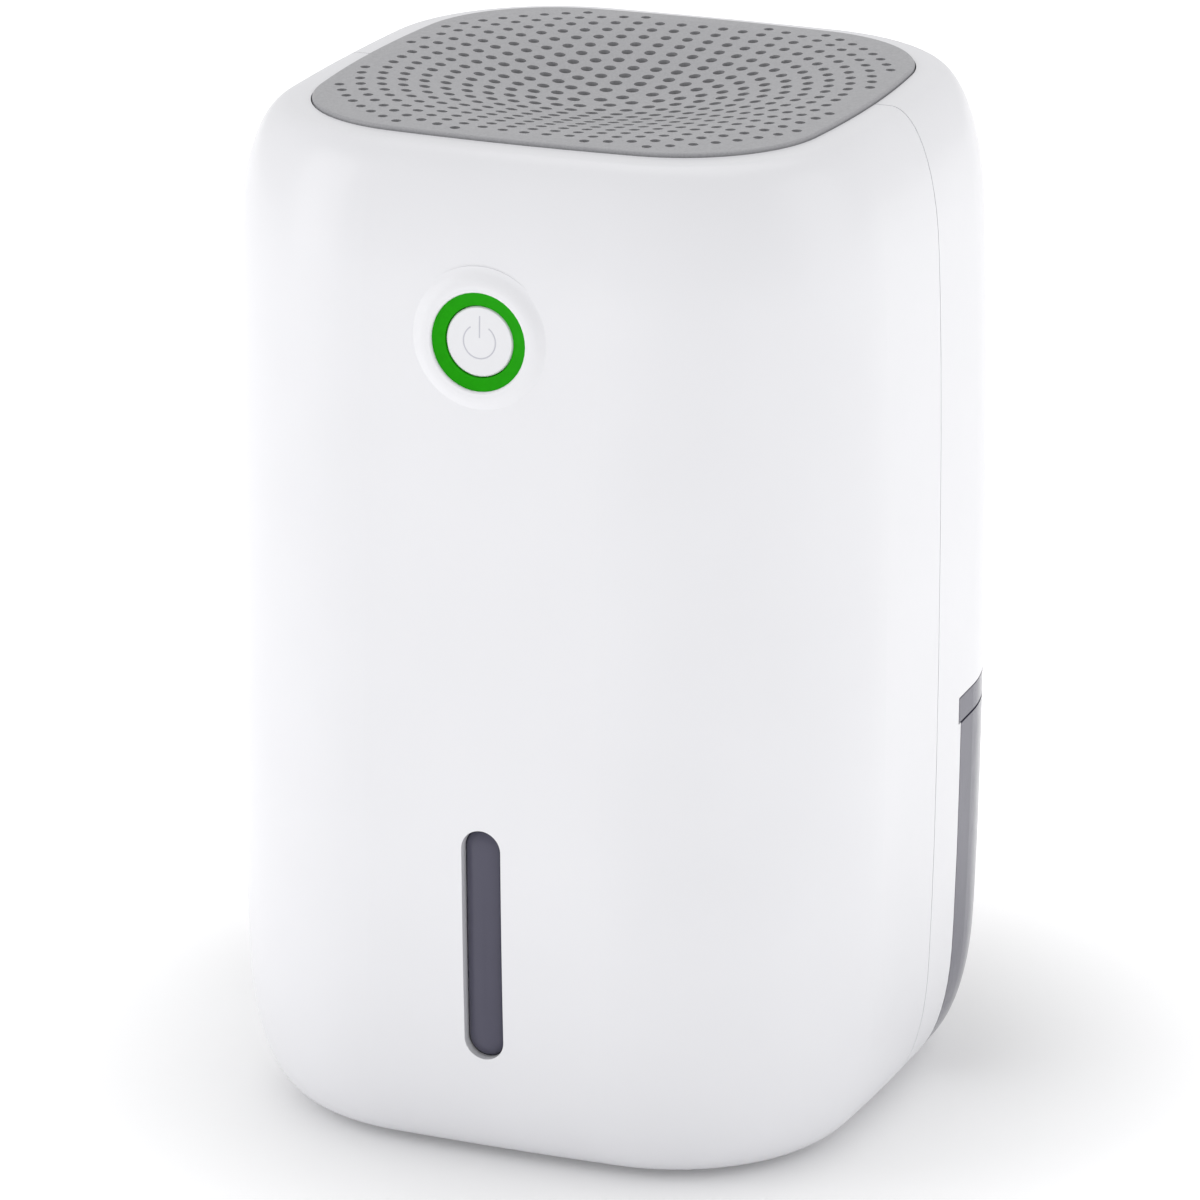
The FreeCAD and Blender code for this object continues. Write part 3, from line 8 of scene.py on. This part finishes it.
import bmesh
import bpy
from mathutils import Matrix, Vector


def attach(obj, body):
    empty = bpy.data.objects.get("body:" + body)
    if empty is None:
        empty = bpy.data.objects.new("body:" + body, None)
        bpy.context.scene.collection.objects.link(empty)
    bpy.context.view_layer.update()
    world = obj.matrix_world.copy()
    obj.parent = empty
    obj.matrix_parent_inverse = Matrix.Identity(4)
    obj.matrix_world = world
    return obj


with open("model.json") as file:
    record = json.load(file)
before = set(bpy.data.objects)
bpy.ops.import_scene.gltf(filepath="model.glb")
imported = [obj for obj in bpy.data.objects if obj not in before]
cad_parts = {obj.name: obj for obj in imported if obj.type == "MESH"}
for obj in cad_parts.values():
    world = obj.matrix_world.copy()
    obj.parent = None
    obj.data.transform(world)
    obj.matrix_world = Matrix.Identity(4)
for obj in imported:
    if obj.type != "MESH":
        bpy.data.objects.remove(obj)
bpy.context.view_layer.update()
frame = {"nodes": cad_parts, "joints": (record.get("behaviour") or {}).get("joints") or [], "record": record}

bl_info = {
    "name": "Dehumidifier",
    "version": (1, 0, 0),
    "blender": (4, 5, 0),
    "location": "3D View > Sidebar > Dehumidifier",
    "description": "Finishes, small parts and studio stage of a table-top dehumidifier",
    "category": "Object",
}

FULL_TURN = 2 * math.pi


# ---------------------------------------------------------------- settings

def length(name, description, default):
    return bpy.props.FloatProperty(name=name, description=description, default=default, unit="LENGTH",
                                   precision=5)


def tone(name, description, default):
    return bpy.props.FloatVectorProperty(name=name, description=description, default=default, size=3,
                                         min=0, max=1, subtype="COLOR")


class DehumidifierColours(bpy.types.PropertyGroup):
    shell: tone("Shell", "White of the two casing shells", (0.775, 0.775, 0.80))
    button: tone("Button", "White of the power button's cap", (0.75, 0.75, 0.775))
    icon: tone("Icon", "Grey of the power mark", (0.52, 0.52, 0.57))
    grille: tone("Grille", "Grey of the top grille", (0.345, 0.345, 0.36))
    ring: tone("Ring", "Green of the lit ring", (0.010, 0.26, 0.001))
    tank: tone("Tank", "Smoky grey of the water tank", (0.100, 0.097, 0.138))
    inner: tone("Inner parts", "Grey of the inner mouldings", (0.22, 0.23, 0.24))
    board: tone("Circuit board", "Green of the solder mask", (0.012, 0.11, 0.045))


class DehumidifierButton(bpy.types.PropertyGroup):
    height: length("Height", "Middle of the button above the floor", 0.1868)
    recess: length("Recess", "How far the cap lies behind the skin", 0.0002)
    mark_radius: length("Mark radius", "Middle of the arc of the power mark", 0.0036)
    mark_line: length("Mark line", "Width of the mark's line", 0.0003)
    mark_gap: bpy.props.FloatProperty(name="Mark gap", description="Half the opening of the arc at the top",
                                      default=math.radians(34), unit="ROTATION")
    bar_low: length("Bar low", "Lower end of the mark's bar above the middle", 0.0008)
    bar_high: length("Bar high", "Upper end of the mark's bar above the middle", 0.0055)


class DehumidifierWindow(bpy.types.PropertyGroup):
    half_width: length("Half width", "Half the width of the window in the level slot", 0.00438)
    low: length("Low", "Lower end of the window", 0.02712)
    high: length("High", "Upper end of the window", 0.07928)
    crown: length("Crown", "How far the window's middle bulges forwards", 0.00200)
    behind: length("Behind", "How far the window's back lies behind the skin", 0.00290)


class DehumidifierStage(bpy.types.PropertyGroup):
    azimuth: bpy.props.FloatProperty(name="Azimuth", description="Camera's turn to the right of the front",
                                     default=math.radians(22.37), unit="ROTATION")
    elevation: bpy.props.FloatProperty(name="Elevation", description="Camera's angle above the horizon",
                                       default=math.radians(18.13), unit="ROTATION")
    distance: length("Distance", "Camera to the middle of the casing", 1.5371)
    target: length("Target", "Height that the camera looks at", 0.1125)
    lens: bpy.props.FloatProperty(name="Lens", description="Focal length on a 36 mm sensor", default=210.3,
                                  unit="CAMERA")
    sky: bpy.props.FloatProperty(name="Surround", description="Brightness of the white surround", default=0.76,
                                 min=0)


GROUPS = {"dehumidifier_colours": DehumidifierColours, "dehumidifier_button": DehumidifierButton,
          "dehumidifier_window": DehumidifierWindow, "dehumidifier_stage": DehumidifierStage}


def colours():
    return bpy.context.scene.dehumidifier_colours


# ---------------------------------------------------------------- the casing's skin

TOP, HALF_DEPTH = 0.225, 0.075
BARREL = 0.0025  # how far the sides draw in from mid-height to the floor and the top
ROUNDINGS = (  # start height, reach, depth and power of the rounding at the top and the bottom
    (0.192, 0.033, 0.0106, 2.2),
    (0.0362, -0.0347, 0.0144, 2.5),
)


def skin_inset(height):
    """How far the casing's outline has moved in at a height."""
    middle = TOP / 2
    inset = BARREL * ((height - middle) / middle) ** 2
    for start, reach, depth, power in ROUNDINGS:
        share = min(max((height - start) / reach, 0.0), 1.0)
        inset += depth * (1 - (1 - share ** power) ** (1 / power))
    return inset


def button_matrix():
    """From a piece drawn about its own Y axis to the front, square to the skin at the button."""
    height = bpy.context.scene.dehumidifier_button.height
    axis = Vector(next(j["axis"] for j in frame["joints"] if j["name"] == "button_press"))
    turn = axis.to_track_quat("Y", "Z").to_matrix().to_4x4()
    return Matrix.Translation((0, skin_inset(height) - HALF_DEPTH, height)) @ turn


# ---------------------------------------------------------------- materials

class Nodes:
    """Adds nodes to one material and links them."""

    def __init__(self, name):
        self.material = bpy.data.materials.new(name)
        self.material.use_nodes = True
        self.tree = self.material.node_tree
        self.shader = self.tree.nodes["Principled BSDF"]
        self.place = self.tree.nodes.new("ShaderNodeTexCoord").outputs["Object"]

    def add(self, kind, links=None, **values):
        node = self.tree.nodes.new(kind)
        for key, value in values.items():
            if key in node.inputs:
                node.inputs[key].default_value = value
            else:
                setattr(node, key, value)
        for socket, source in (links or {}).items():
            self.tree.links.new(source, node.inputs[socket])
        return node

    def set(self, **values):
        for key, value in values.items():
            self.shader.inputs[key.replace("_", " ")].default_value = value

    def link(self, source, socket):
        self.tree.links.new(source, self.shader.inputs[socket])

    def noise(self, scale, detail=2.0, stretch=(1, 1, 1)):
        place = self.place
        if stretch != (1, 1, 1):
            place = self.add("ShaderNodeMapping", {"Vector": self.place}, Scale=stretch).outputs["Vector"]
        return self.add("ShaderNodeTexNoise", {"Vector": place}, Scale=scale, Detail=detail).outputs["Fac"]

    def spread(self, source, low, high):
        """A 0 to 1 pattern spread between two values."""
        node = self.add("ShaderNodeMapRange", {"Value": source})
        node.inputs["From Min"].default_value, node.inputs["From Max"].default_value = 0.3, 0.7
        node.inputs["To Min"].default_value, node.inputs["To Max"].default_value = low, high
        return node.outputs["Result"]

    def tint(self, source, dark, light):
        """A colour that moves between two tones with a pattern."""
        ramp = self.add("ShaderNodeValToRGB", {"Fac": source})
        ramp.color_ramp.elements[0].position, ramp.color_ramp.elements[1].position = 0.3, 0.7
        ramp.color_ramp.elements[0].color = (*dark, 1)
        ramp.color_ramp.elements[1].color = (*light, 1)
        return ramp.outputs["Color"]

    def bump(self, source, depth):
        node = self.add("ShaderNodeBump", {"Height": source}, Distance=depth, Strength=1.0)
        self.link(node.outputs["Normal"], "Normal")


def scaled(colour, factor):
    return tuple(min(c * factor, 1.0) for c in colour)


def moulded(name, colour, roughness, grain=1400, depth=1e-5, change=0.03, coat=0.0, waver=60):
    """Injection moulded plastic: slow tone changes, a wavering gloss and a fine skin grain."""
    n = Nodes(name)
    slow = n.noise(waver, 3)
    n.link(n.tint(slow, scaled(colour, 1 - change), scaled(colour, 1 + change)), "Base Color")
    n.link(n.spread(n.noise(waver * 4, 4), roughness * 0.85, roughness * 1.15), "Roughness")
    n.set(IOR=1.52, Coat_Weight=coat, Coat_Roughness=0.08)
    n.bump(n.noise(grain, 2), depth)
    return n.material


def metal(name, colour, roughness, stretch, depth=4e-6):
    """Drawn, milled or plated metal with lines along one direction."""
    n = Nodes(name)
    lines = n.noise(900, 4, stretch)
    n.link(n.tint(lines, scaled(colour, 0.86), scaled(colour, 1.08)), "Base Color")
    n.link(n.spread(lines, roughness * 0.86, roughness * 1.14), "Roughness")
    n.set(Metallic=1.0)
    n.bump(lines, depth)
    return n.material


def shell_plastic():
    c = colours().shell
    n = Nodes("white_abs")
    slow = n.noise(22, 2)
    n.link(n.tint(slow, scaled(c, 0.985), scaled(c, 1.01)), "Base Color")
    n.link(n.spread(n.noise(260, 2), 0.30, 0.34), "Roughness")
    n.set(IOR=1.5, Coat_Weight=0.15, Coat_Roughness=0.1)
    return n.material


def grille_plastic():
    c = colours().grille
    n = Nodes("grille_grey")
    n.link(n.tint(n.noise(2600, 3), scaled(c, 0.90), scaled(c, 1.10)), "Base Color")
    n.link(n.spread(n.noise(900, 3), 0.30, 0.42), "Roughness")
    n.set(IOR=1.5)
    n.bump(n.noise(3200, 3), 1.6e-5)
    return n.material


def lit_ring():
    c = colours().ring
    n = Nodes("green_diffuser")
    n.link(n.tint(n.noise(500, 2), scaled(c, 0.93), scaled(c, 1.05)), "Base Color")
    n.link(n.spread(n.noise(900, 3), 0.42, 0.50), "Roughness")
    n.set(IOR=1.4, Specular_IOR_Level=0.1, Emission_Color=(*c, 1), Emission_Strength=0.22)
    n.bump(n.noise(1800, 2), 3e-6)
    return n.material


def smoky_plastic():
    c = colours().tank
    n = Nodes("smoky_tank")
    n.link(n.tint(n.noise(40, 3), scaled(c, 0.95), scaled(c, 1.05)), "Base Color")
    n.link(n.spread(n.noise(300, 3), 0.12, 0.19), "Roughness")
    n.set(IOR=1.4, Specular_IOR_Level=0.3, Transmission_Weight=0.2)
    n.bump(n.noise(700, 2), 3e-6)
    return n.material


def foam():
    n = Nodes("black_foam")
    cells = n.add("ShaderNodeTexVoronoi", {"Vector": n.place}, Scale=1100.0).outputs["Distance"]
    n.link(n.tint(cells, (0.012, 0.012, 0.013), (0.06, 0.06, 0.063)), "Base Color")
    n.set(Roughness=0.95, IOR=1.4)
    n.bump(cells, 2.5e-4)
    return n.material


def solder_mask():
    c = colours().board
    n = Nodes("circuit_board")
    tracks = n.add("ShaderNodeTexBrick", {"Vector": n.place}, Scale=260.0, offset=0.5)
    tracks.inputs["Color1"].default_value = (*scaled(c, 0.85), 1)
    tracks.inputs["Color2"].default_value = (*c, 1)
    tracks.inputs["Mortar"].default_value = (*scaled(c, 1.9), 1)
    tracks.inputs["Mortar Size"].default_value = 0.03
    n.link(tracks.outputs["Color"], "Base Color")
    n.link(n.spread(n.noise(500, 3), 0.28, 0.4), "Roughness")
    n.bump(tracks.outputs["Fac"], 2e-5)
    return n.material


def windings():
    n = Nodes("motor_copper")
    turns = n.add("ShaderNodeTexWave", {"Vector": n.place}, Scale=420.0, Distortion=1.2, bands_direction="Z")
    n.link(n.tint(turns.outputs["Fac"], (0.30, 0.09, 0.03), (0.72, 0.30, 0.14)), "Base Color")
    n.link(n.spread(n.noise(700, 2), 0.25, 0.4), "Roughness")
    n.set(Metallic=0.85)
    n.bump(turns.outputs["Fac"], 1e-4)
    return n.material


def make_finishes():
    """Every material slot of the record, as a node material."""
    c = colours()
    made = {
        "white_abs": shell_plastic(),
        "button_white": moulded("button_white", c.button, 0.35, 1500, 3e-6, 0.015, 0.2),
        "base_white": moulded("base_white", (0.72, 0.72, 0.74), 0.5, 2200, 2e-5),
        "black_rubber": moulded("black_rubber", (0.022, 0.022, 0.024), 0.78, 3000, 5e-5, 0.2),
        "zinc_steel": metal("zinc_steel", (0.62, 0.62, 0.60), 0.34, (1, 1, 0.2)),
        "bright_steel": metal("bright_steel", (0.70, 0.70, 0.71), 0.22, (1, 1, 0.05)),
        "magnet_steel": metal("magnet_steel", (0.60, 0.59, 0.57), 0.16, (1, 1, 1)),
        "grille_grey": grille_plastic(),
        "green_diffuser": lit_ring(),
        "green_lens": moulded("green_lens", (0.03, 0.42, 0.03), 0.12, 900, 1e-6, 0.05, 0.5),
        "circuit_board": solder_mask(),
        "black_plastic": moulded("black_plastic", (0.020, 0.020, 0.022), 0.46, 2400, 3e-5, 0.12),
        "fan_black": moulded("fan_black", (0.016, 0.016, 0.018), 0.35, 2000, 1e-5, 0.12),
        "smoky_tank": smoky_plastic(),
        "lid_grey": moulded("lid_grey", (0.27, 0.27, 0.31), 0.33, 1800, 8e-6),
        "float_white": moulded("float_white", (0.78, 0.77, 0.72), 0.85, 1500, 1e-4, 0.05),
        "inner_grey": moulded("inner_grey", c.inner, 0.5, 2200, 2e-5, 0.06),
        "sink_aluminium": metal("sink_aluminium", (0.76, 0.77, 0.78), 0.34, (1, 1, 0.03)),
        "white_ceramic": moulded("white_ceramic", (0.80, 0.80, 0.77), 0.55, 4000, 8e-6),
        "black_foam": foam(),
        "motor_copper": windings(),
        "capacitor_sleeve": moulded("capacitor_sleeve", (0.018, 0.028, 0.075), 0.35, 900, 5e-6, 0.15, 0.3),
    }
    for part in frame["record"]["subparts"]:
        node = frame["nodes"][part["node"]]
        node.data.materials.clear()
        node.data.materials.append(made[part["material_slot"]])
    return made


# ---------------------------------------------------------------- small makers

def piece(name, mesh, body, material, matrix=None, smooth=35.0):
    """A finished bmesh as a piece that rides on a body."""
    if matrix is not None:
        mesh.transform(matrix)
    bmesh.ops.remove_doubles(mesh, verts=mesh.verts, dist=1e-7)
    bmesh.ops.recalc_face_normals(mesh, faces=mesh.faces)
    data = bpy.data.meshes.new(name)
    mesh.to_mesh(data)
    mesh.free()
    data.materials.append(material)
    made = bpy.data.objects.new(name, data)
    bpy.context.scene.collection.objects.link(made)
    data.shade_smooth()
    data.set_sharp_from_angle(angle=math.radians(smooth))
    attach(made, body)
    return made


def swept(mesh, profile, steps, angle, start=0.0):
    """A closed (radius, depth) profile swept about the Y axis from an angle measured from straight up."""
    verts = [mesh.verts.new((r * math.sin(start), y, r * math.cos(start))) for r, y in profile]
    edges = [mesh.edges.new((a, b)) for a, b in zip(verts, verts[1:] + verts[:1])]
    whole = abs(angle - FULL_TURN) < 1e-6
    ends = [] if whole else [mesh.faces.new(verts)]
    out = bmesh.ops.spin(mesh, geom=verts + edges, cent=(0, 0, 0), axis=(0, 1, 0), dvec=(0, 0, 0), angle=angle,
                         steps=steps, use_merge=whole)
    if not whole:
        loop = [g for g in out["geom_last"] if isinstance(g, bmesh.types.BMVert)]
        ends.append(mesh.faces.new(loop))
    return ends


def block(mesh, low, high):
    """A box between two corners."""
    out = bmesh.ops.create_cube(mesh, size=1.0)
    low, high = Vector(low), Vector(high)
    bmesh.ops.scale(mesh, vec=high - low, verts=out["verts"])
    bmesh.ops.translate(mesh, vec=(low + high) / 2, verts=out["verts"])
    return out["verts"]


def rounded(mesh, low, high, edge=0.0002):
    """A box with softened edges."""
    verts = block(mesh, low, high)
    edges = {e for v in verts for e in v.link_edges}
    bmesh.ops.bevel(mesh, geom=list(edges), offset=edge, segments=2, profile=0.5, affect="EDGES", material=-1)


def pill_ring(mesh, half, low, high, turns, lengths):
    """The outline of an upright pill in the XZ plane, as one loop of verts."""
    points = []
    for centre, start, other in ((high - half, -90, low + half), (low + half, 90, high - half)):
        for step in range(turns + 1):
            angle = math.radians(start + 180 * step / turns)
            points.append((half * math.sin(angle), centre + half * math.cos(angle)))
        side = points[-1][0]
        points += [(side, centre + (other - centre) * step / lengths) for step in range(1, lengths)]
    return [mesh.verts.new((x, 0, z)) for x, z in points]


# ---------------------------------------------------------------- operators

class DEHUMIDIFIER_OT_finishes(bpy.types.Operator):
    """Give every part of the frame its finish"""
    bl_idname = "dehumidifier.finishes"
    bl_label = "Finishes"

    def execute(self, context):
        FINISHES.update(make_finishes())
        return {"FINISHED"}


class DEHUMIDIFIER_OT_power_mark(bpy.types.Operator):
    """Fill the groove of the power mark on the button"""
    bl_idname = "dehumidifier.power_mark"
    bl_label = "Power mark"

    def execute(self, context):
        s = context.scene.dehumidifier_button
        ink = moulded("mark_grey", colours().icon, 0.45, 1500, 3e-6)
        half = s.mark_line / 2
        front, back = s.recess + 0.00003, s.recess + 0.00028
        mesh = bmesh.new()
        profile = [(s.mark_radius - half, front), (s.mark_radius + half, front), (s.mark_radius + half, back),
                   (s.mark_radius - half, back)]
        swept(mesh, profile, 48, FULL_TURN - 2 * s.mark_gap, s.mark_gap)
        block(mesh, (-half, front, s.bar_low), (half, back, s.bar_high))
        piece("power_mark", mesh, "button", ink, button_matrix())
        return {"FINISHED"}


class DEHUMIDIFIER_OT_level_window(bpy.types.Operator):
    """Round off the front of the level boss with a convex window"""
    bl_idname = "dehumidifier.level_window"
    bl_label = "Level window"

    def execute(self, context):
        s = context.scene.dehumidifier_window
        half = depth = s.half_width
        mesh = bmesh.new()
        ring = pill_ring(mesh, half, s.low, s.high, 12, 8)
        out = bmesh.ops.extrude_face_region(mesh, geom=[mesh.faces.new(ring)])
        front = [g for g in out["geom"] if isinstance(g, bmesh.types.BMVert)]
        bmesh.ops.translate(mesh, verts=front, vec=(0, -depth, 0))
        rim = [e for e in mesh.edges if all(v in front for v in e.verts)]
        bmesh.ops.bevel(mesh, geom=rim, offset=depth * 0.92, segments=9, profile=0.5, affect="EDGES",
                        material=-1)
        for vert in mesh.verts:
            vert.co.y = vert.co.y * s.crown / depth + skin_inset(vert.co.z) - HALF_DEPTH + s.behind
        piece("level_window", mesh, "tank", FINISHES["smoky_tank"], None, 50.0)
        return {"FINISHED"}


class DEHUMIDIFIER_OT_board_parts(bpy.types.Operator):
    """Fit chips, resistors, pads and a plug socket to the two circuit boards"""
    bl_idname = "dehumidifier.board_parts"
    bl_label = "Board parts"

    def execute(self, context):
        face = BOARD_TOP
        chips = bmesh.new()
        for x, y, wide, deep, tall in POWER_CHIPS:
            rounded(chips, (x - wide / 2, y - deep / 2, face), (x + wide / 2, y + deep / 2, face + tall))
        piece("power_chips", chips, "casing", FINISHES["black_plastic"])
        pads = bmesh.new()
        for x, y, wide, deep, tall in POWER_CHIPS:
            for step in range(4):
                place = x - wide * 0.36 + step * wide * 0.24
                block(pads, (place - 0.0003, y - deep / 2 - 0.0009, face),
                      (place + 0.0003, y + deep / 2 + 0.0009, face + 0.0003))
        for step in range(10):
            place = -0.0200 + 0.0034 * step
            block(pads, (place, -0.0400, face), (place + 0.0020, -0.0388, face + 0.0006))
        piece("power_pads", pads, "casing", FINISHES["zinc_steel"])
        socket = bmesh.new()
        rounded(socket, (0.0090, -0.0625, face), (0.0190, -0.0575, face + 0.0055))
        piece("plug_socket", socket, "casing", FINISHES["white_ceramic"])
        control = bmesh.new()
        back = CONTROL_BACK
        rounded(control, (-0.0040, back, -0.0040), (0.0040, back + 0.0012, 0.0040))
        for step in range(6):
            low = -0.0075 + 0.0026 * step
            block(control, (-0.0140, back, low), (-0.0125, back + 0.0007, low + 0.0010))
        piece("control_chips", control, "casing", FINISHES["black_plastic"], button_matrix())
        legs = bmesh.new()
        for step in range(8):
            place = -0.0035 + 0.0010 * step
            block(legs, (place - 0.0002, back, -0.0050), (place + 0.0002, back + 0.0003, 0.0050))
        piece("control_legs", legs, "casing", FINISHES["zinc_steel"], button_matrix())
        return {"FINISHED"}


class DEHUMIDIFIER_OT_stage(bpy.types.Operator):
    """Set the pale floor, whose glow paints shade round the casing, the soft lights and the camera"""
    bl_idname = "dehumidifier.stage"
    bl_label = "Stage"

    def execute(self, context):
        s = context.scene.dehumidifier_stage
        camera = bpy.data.objects.new("camera", bpy.data.cameras.new("camera"))
        back = Vector((math.sin(s.azimuth) * math.cos(s.elevation),
                       -math.cos(s.azimuth) * math.cos(s.elevation), math.sin(s.elevation)))
        camera.location = Vector((0, 0, s.target)) + back * s.distance
        camera.rotation_euler = (-back).to_track_quat("-Z", "Y").to_euler()
        camera.data.lens, camera.data.sensor_width = s.lens, 36.0
        camera.data.shift_x, camera.data.shift_y = SHIFT
        camera.data.clip_start, camera.data.clip_end = 0.05, 20.0
        context.scene.collection.objects.link(camera)
        context.scene.camera = camera
        mesh = bmesh.new()
        bmesh.ops.create_grid(mesh, x_segments=1, y_segments=1, size=3.0)
        data = bpy.data.meshes.new("floor")
        mesh.to_mesh(data)
        mesh.free()
        floor = bpy.data.objects.new("floor", data)
        context.scene.collection.objects.link(floor)
        n = Nodes("pale_floor")
        n.link(n.tint(n.noise(3, 2), (0.90, 0.90, 0.905), (0.92, 0.92, 0.925)), "Base Color")
        n.set(Roughness=0.6, Emission_Color=(1, 1, 1, 1))
        # The floor's emission is low near the casing and rises away from it. This paints shade round the
        # casing and paints light on the floor further out.
        away = n.add("ShaderNodeVectorMath", {0: n.place}, operation="LENGTH").outputs["Value"]
        painted_shade_glow = n.add("ShaderNodeMapRange", {"Value": away}, interpolation_type="SMOOTHSTEP")
        for key, value in FLOOR_PAINTED_SHADE_GLOW:
            painted_shade_glow.inputs[key].default_value = value
        n.link(painted_shade_glow.outputs["Result"], "Emission Strength")
        data.materials.append(n.material)
        world = bpy.data.worlds.new("surround")
        world.use_nodes = True
        world.node_tree.nodes["Background"].inputs["Color"].default_value = (1, 1, 1, 1)
        world.node_tree.nodes["Background"].inputs["Strength"].default_value = s.sky
        context.scene.world = world
        for name, place, aim, wide, high, power in LIGHTS:
            light = bpy.data.lights.new(name, "AREA")
            light.shape, light.size, light.size_y, light.energy = "RECTANGLE", wide, high, power
            lamp = bpy.data.objects.new(name, light)
            lamp.location = place
            lamp.rotation_euler = (Vector(aim) - Vector(place)).to_track_quat("-Z", "Y").to_euler()
            context.scene.collection.objects.link(lamp)
        context.scene.view_settings.view_transform = "Standard"
        return {"FINISHED"}


SHIFT = (-0.0126, -0.0161)
# Floor emission by distance from the middle: the low value paints shade near the casing, the high value paints
# light further out
FLOOR_PAINTED_SHADE_GLOW = (("From Min", 0.06), ("From Max", 0.22), ("To Min", 0.07), ("To Max", 0.50))
LIGHTS = (  # name, place, aim, width, height and watts
    ("left_box", (-1.1, -0.7, 0.55), (0, 0, 0.1), 0.7, 1.1, 3.0),
    ("right_box", (1.3, 0.25, 0.6), (0, 0, 0.1), 0.8, 1.1, 1.5),
    ("top_box", (0.0, 0.25, 1.3), (0, 0, 0.1), 1.0, 0.8, 2.4),
)

BOARD_TOP = 0.1086  # height of the power board's upper face
CONTROL_BACK = 0.0146  # rear face of the control board, behind the skin at the button
POWER_CHIPS = (  # middle, width, depth and height of each part on the power board
    (-0.0180, -0.0590, 0.0080, 0.0050, 0.0020),
    (-0.0060, -0.0590, 0.0060, 0.0045, 0.0016),
    (0.0030, -0.0590, 0.0040, 0.0040, 0.0014),
)

FINISHES = {}
OPERATORS = (DEHUMIDIFIER_OT_finishes, DEHUMIDIFIER_OT_power_mark, DEHUMIDIFIER_OT_level_window,
             DEHUMIDIFIER_OT_board_parts, DEHUMIDIFIER_OT_stage)


class DEHUMIDIFIER_PT_panel(bpy.types.Panel):
    """Lists the dehumidifier's settings and steps"""
    bl_label = "Dehumidifier"
    bl_idname = "DEHUMIDIFIER_PT_panel"
    bl_space_type = "VIEW_3D"
    bl_region_type = "UI"
    bl_category = "Dehumidifier"

    def draw(self, context):
        for group, kind in GROUPS.items():
            column = self.layout.column()
            for name in kind.__annotations__:
                column.prop(getattr(context.scene, group), name)
        for operator in OPERATORS:
            self.layout.operator(operator.bl_idname)


CLASSES = (*GROUPS.values(), *OPERATORS, DEHUMIDIFIER_PT_panel)


def register():
    for kind in CLASSES:
        bpy.utils.register_class(kind)
    for name, kind in GROUPS.items():
        setattr(bpy.types.Scene, name, bpy.props.PointerProperty(type=kind))


def unregister():
    for name in GROUPS:
        delattr(bpy.types.Scene, name)
    for kind in reversed(CLASSES):
        bpy.utils.unregister_class(kind)


def main():
    register()
    for operator in OPERATORS:
        group, name = operator.bl_idname.split(".")
        getattr(getattr(bpy.ops, group), name)()


if __name__ == "__main__":
    main()
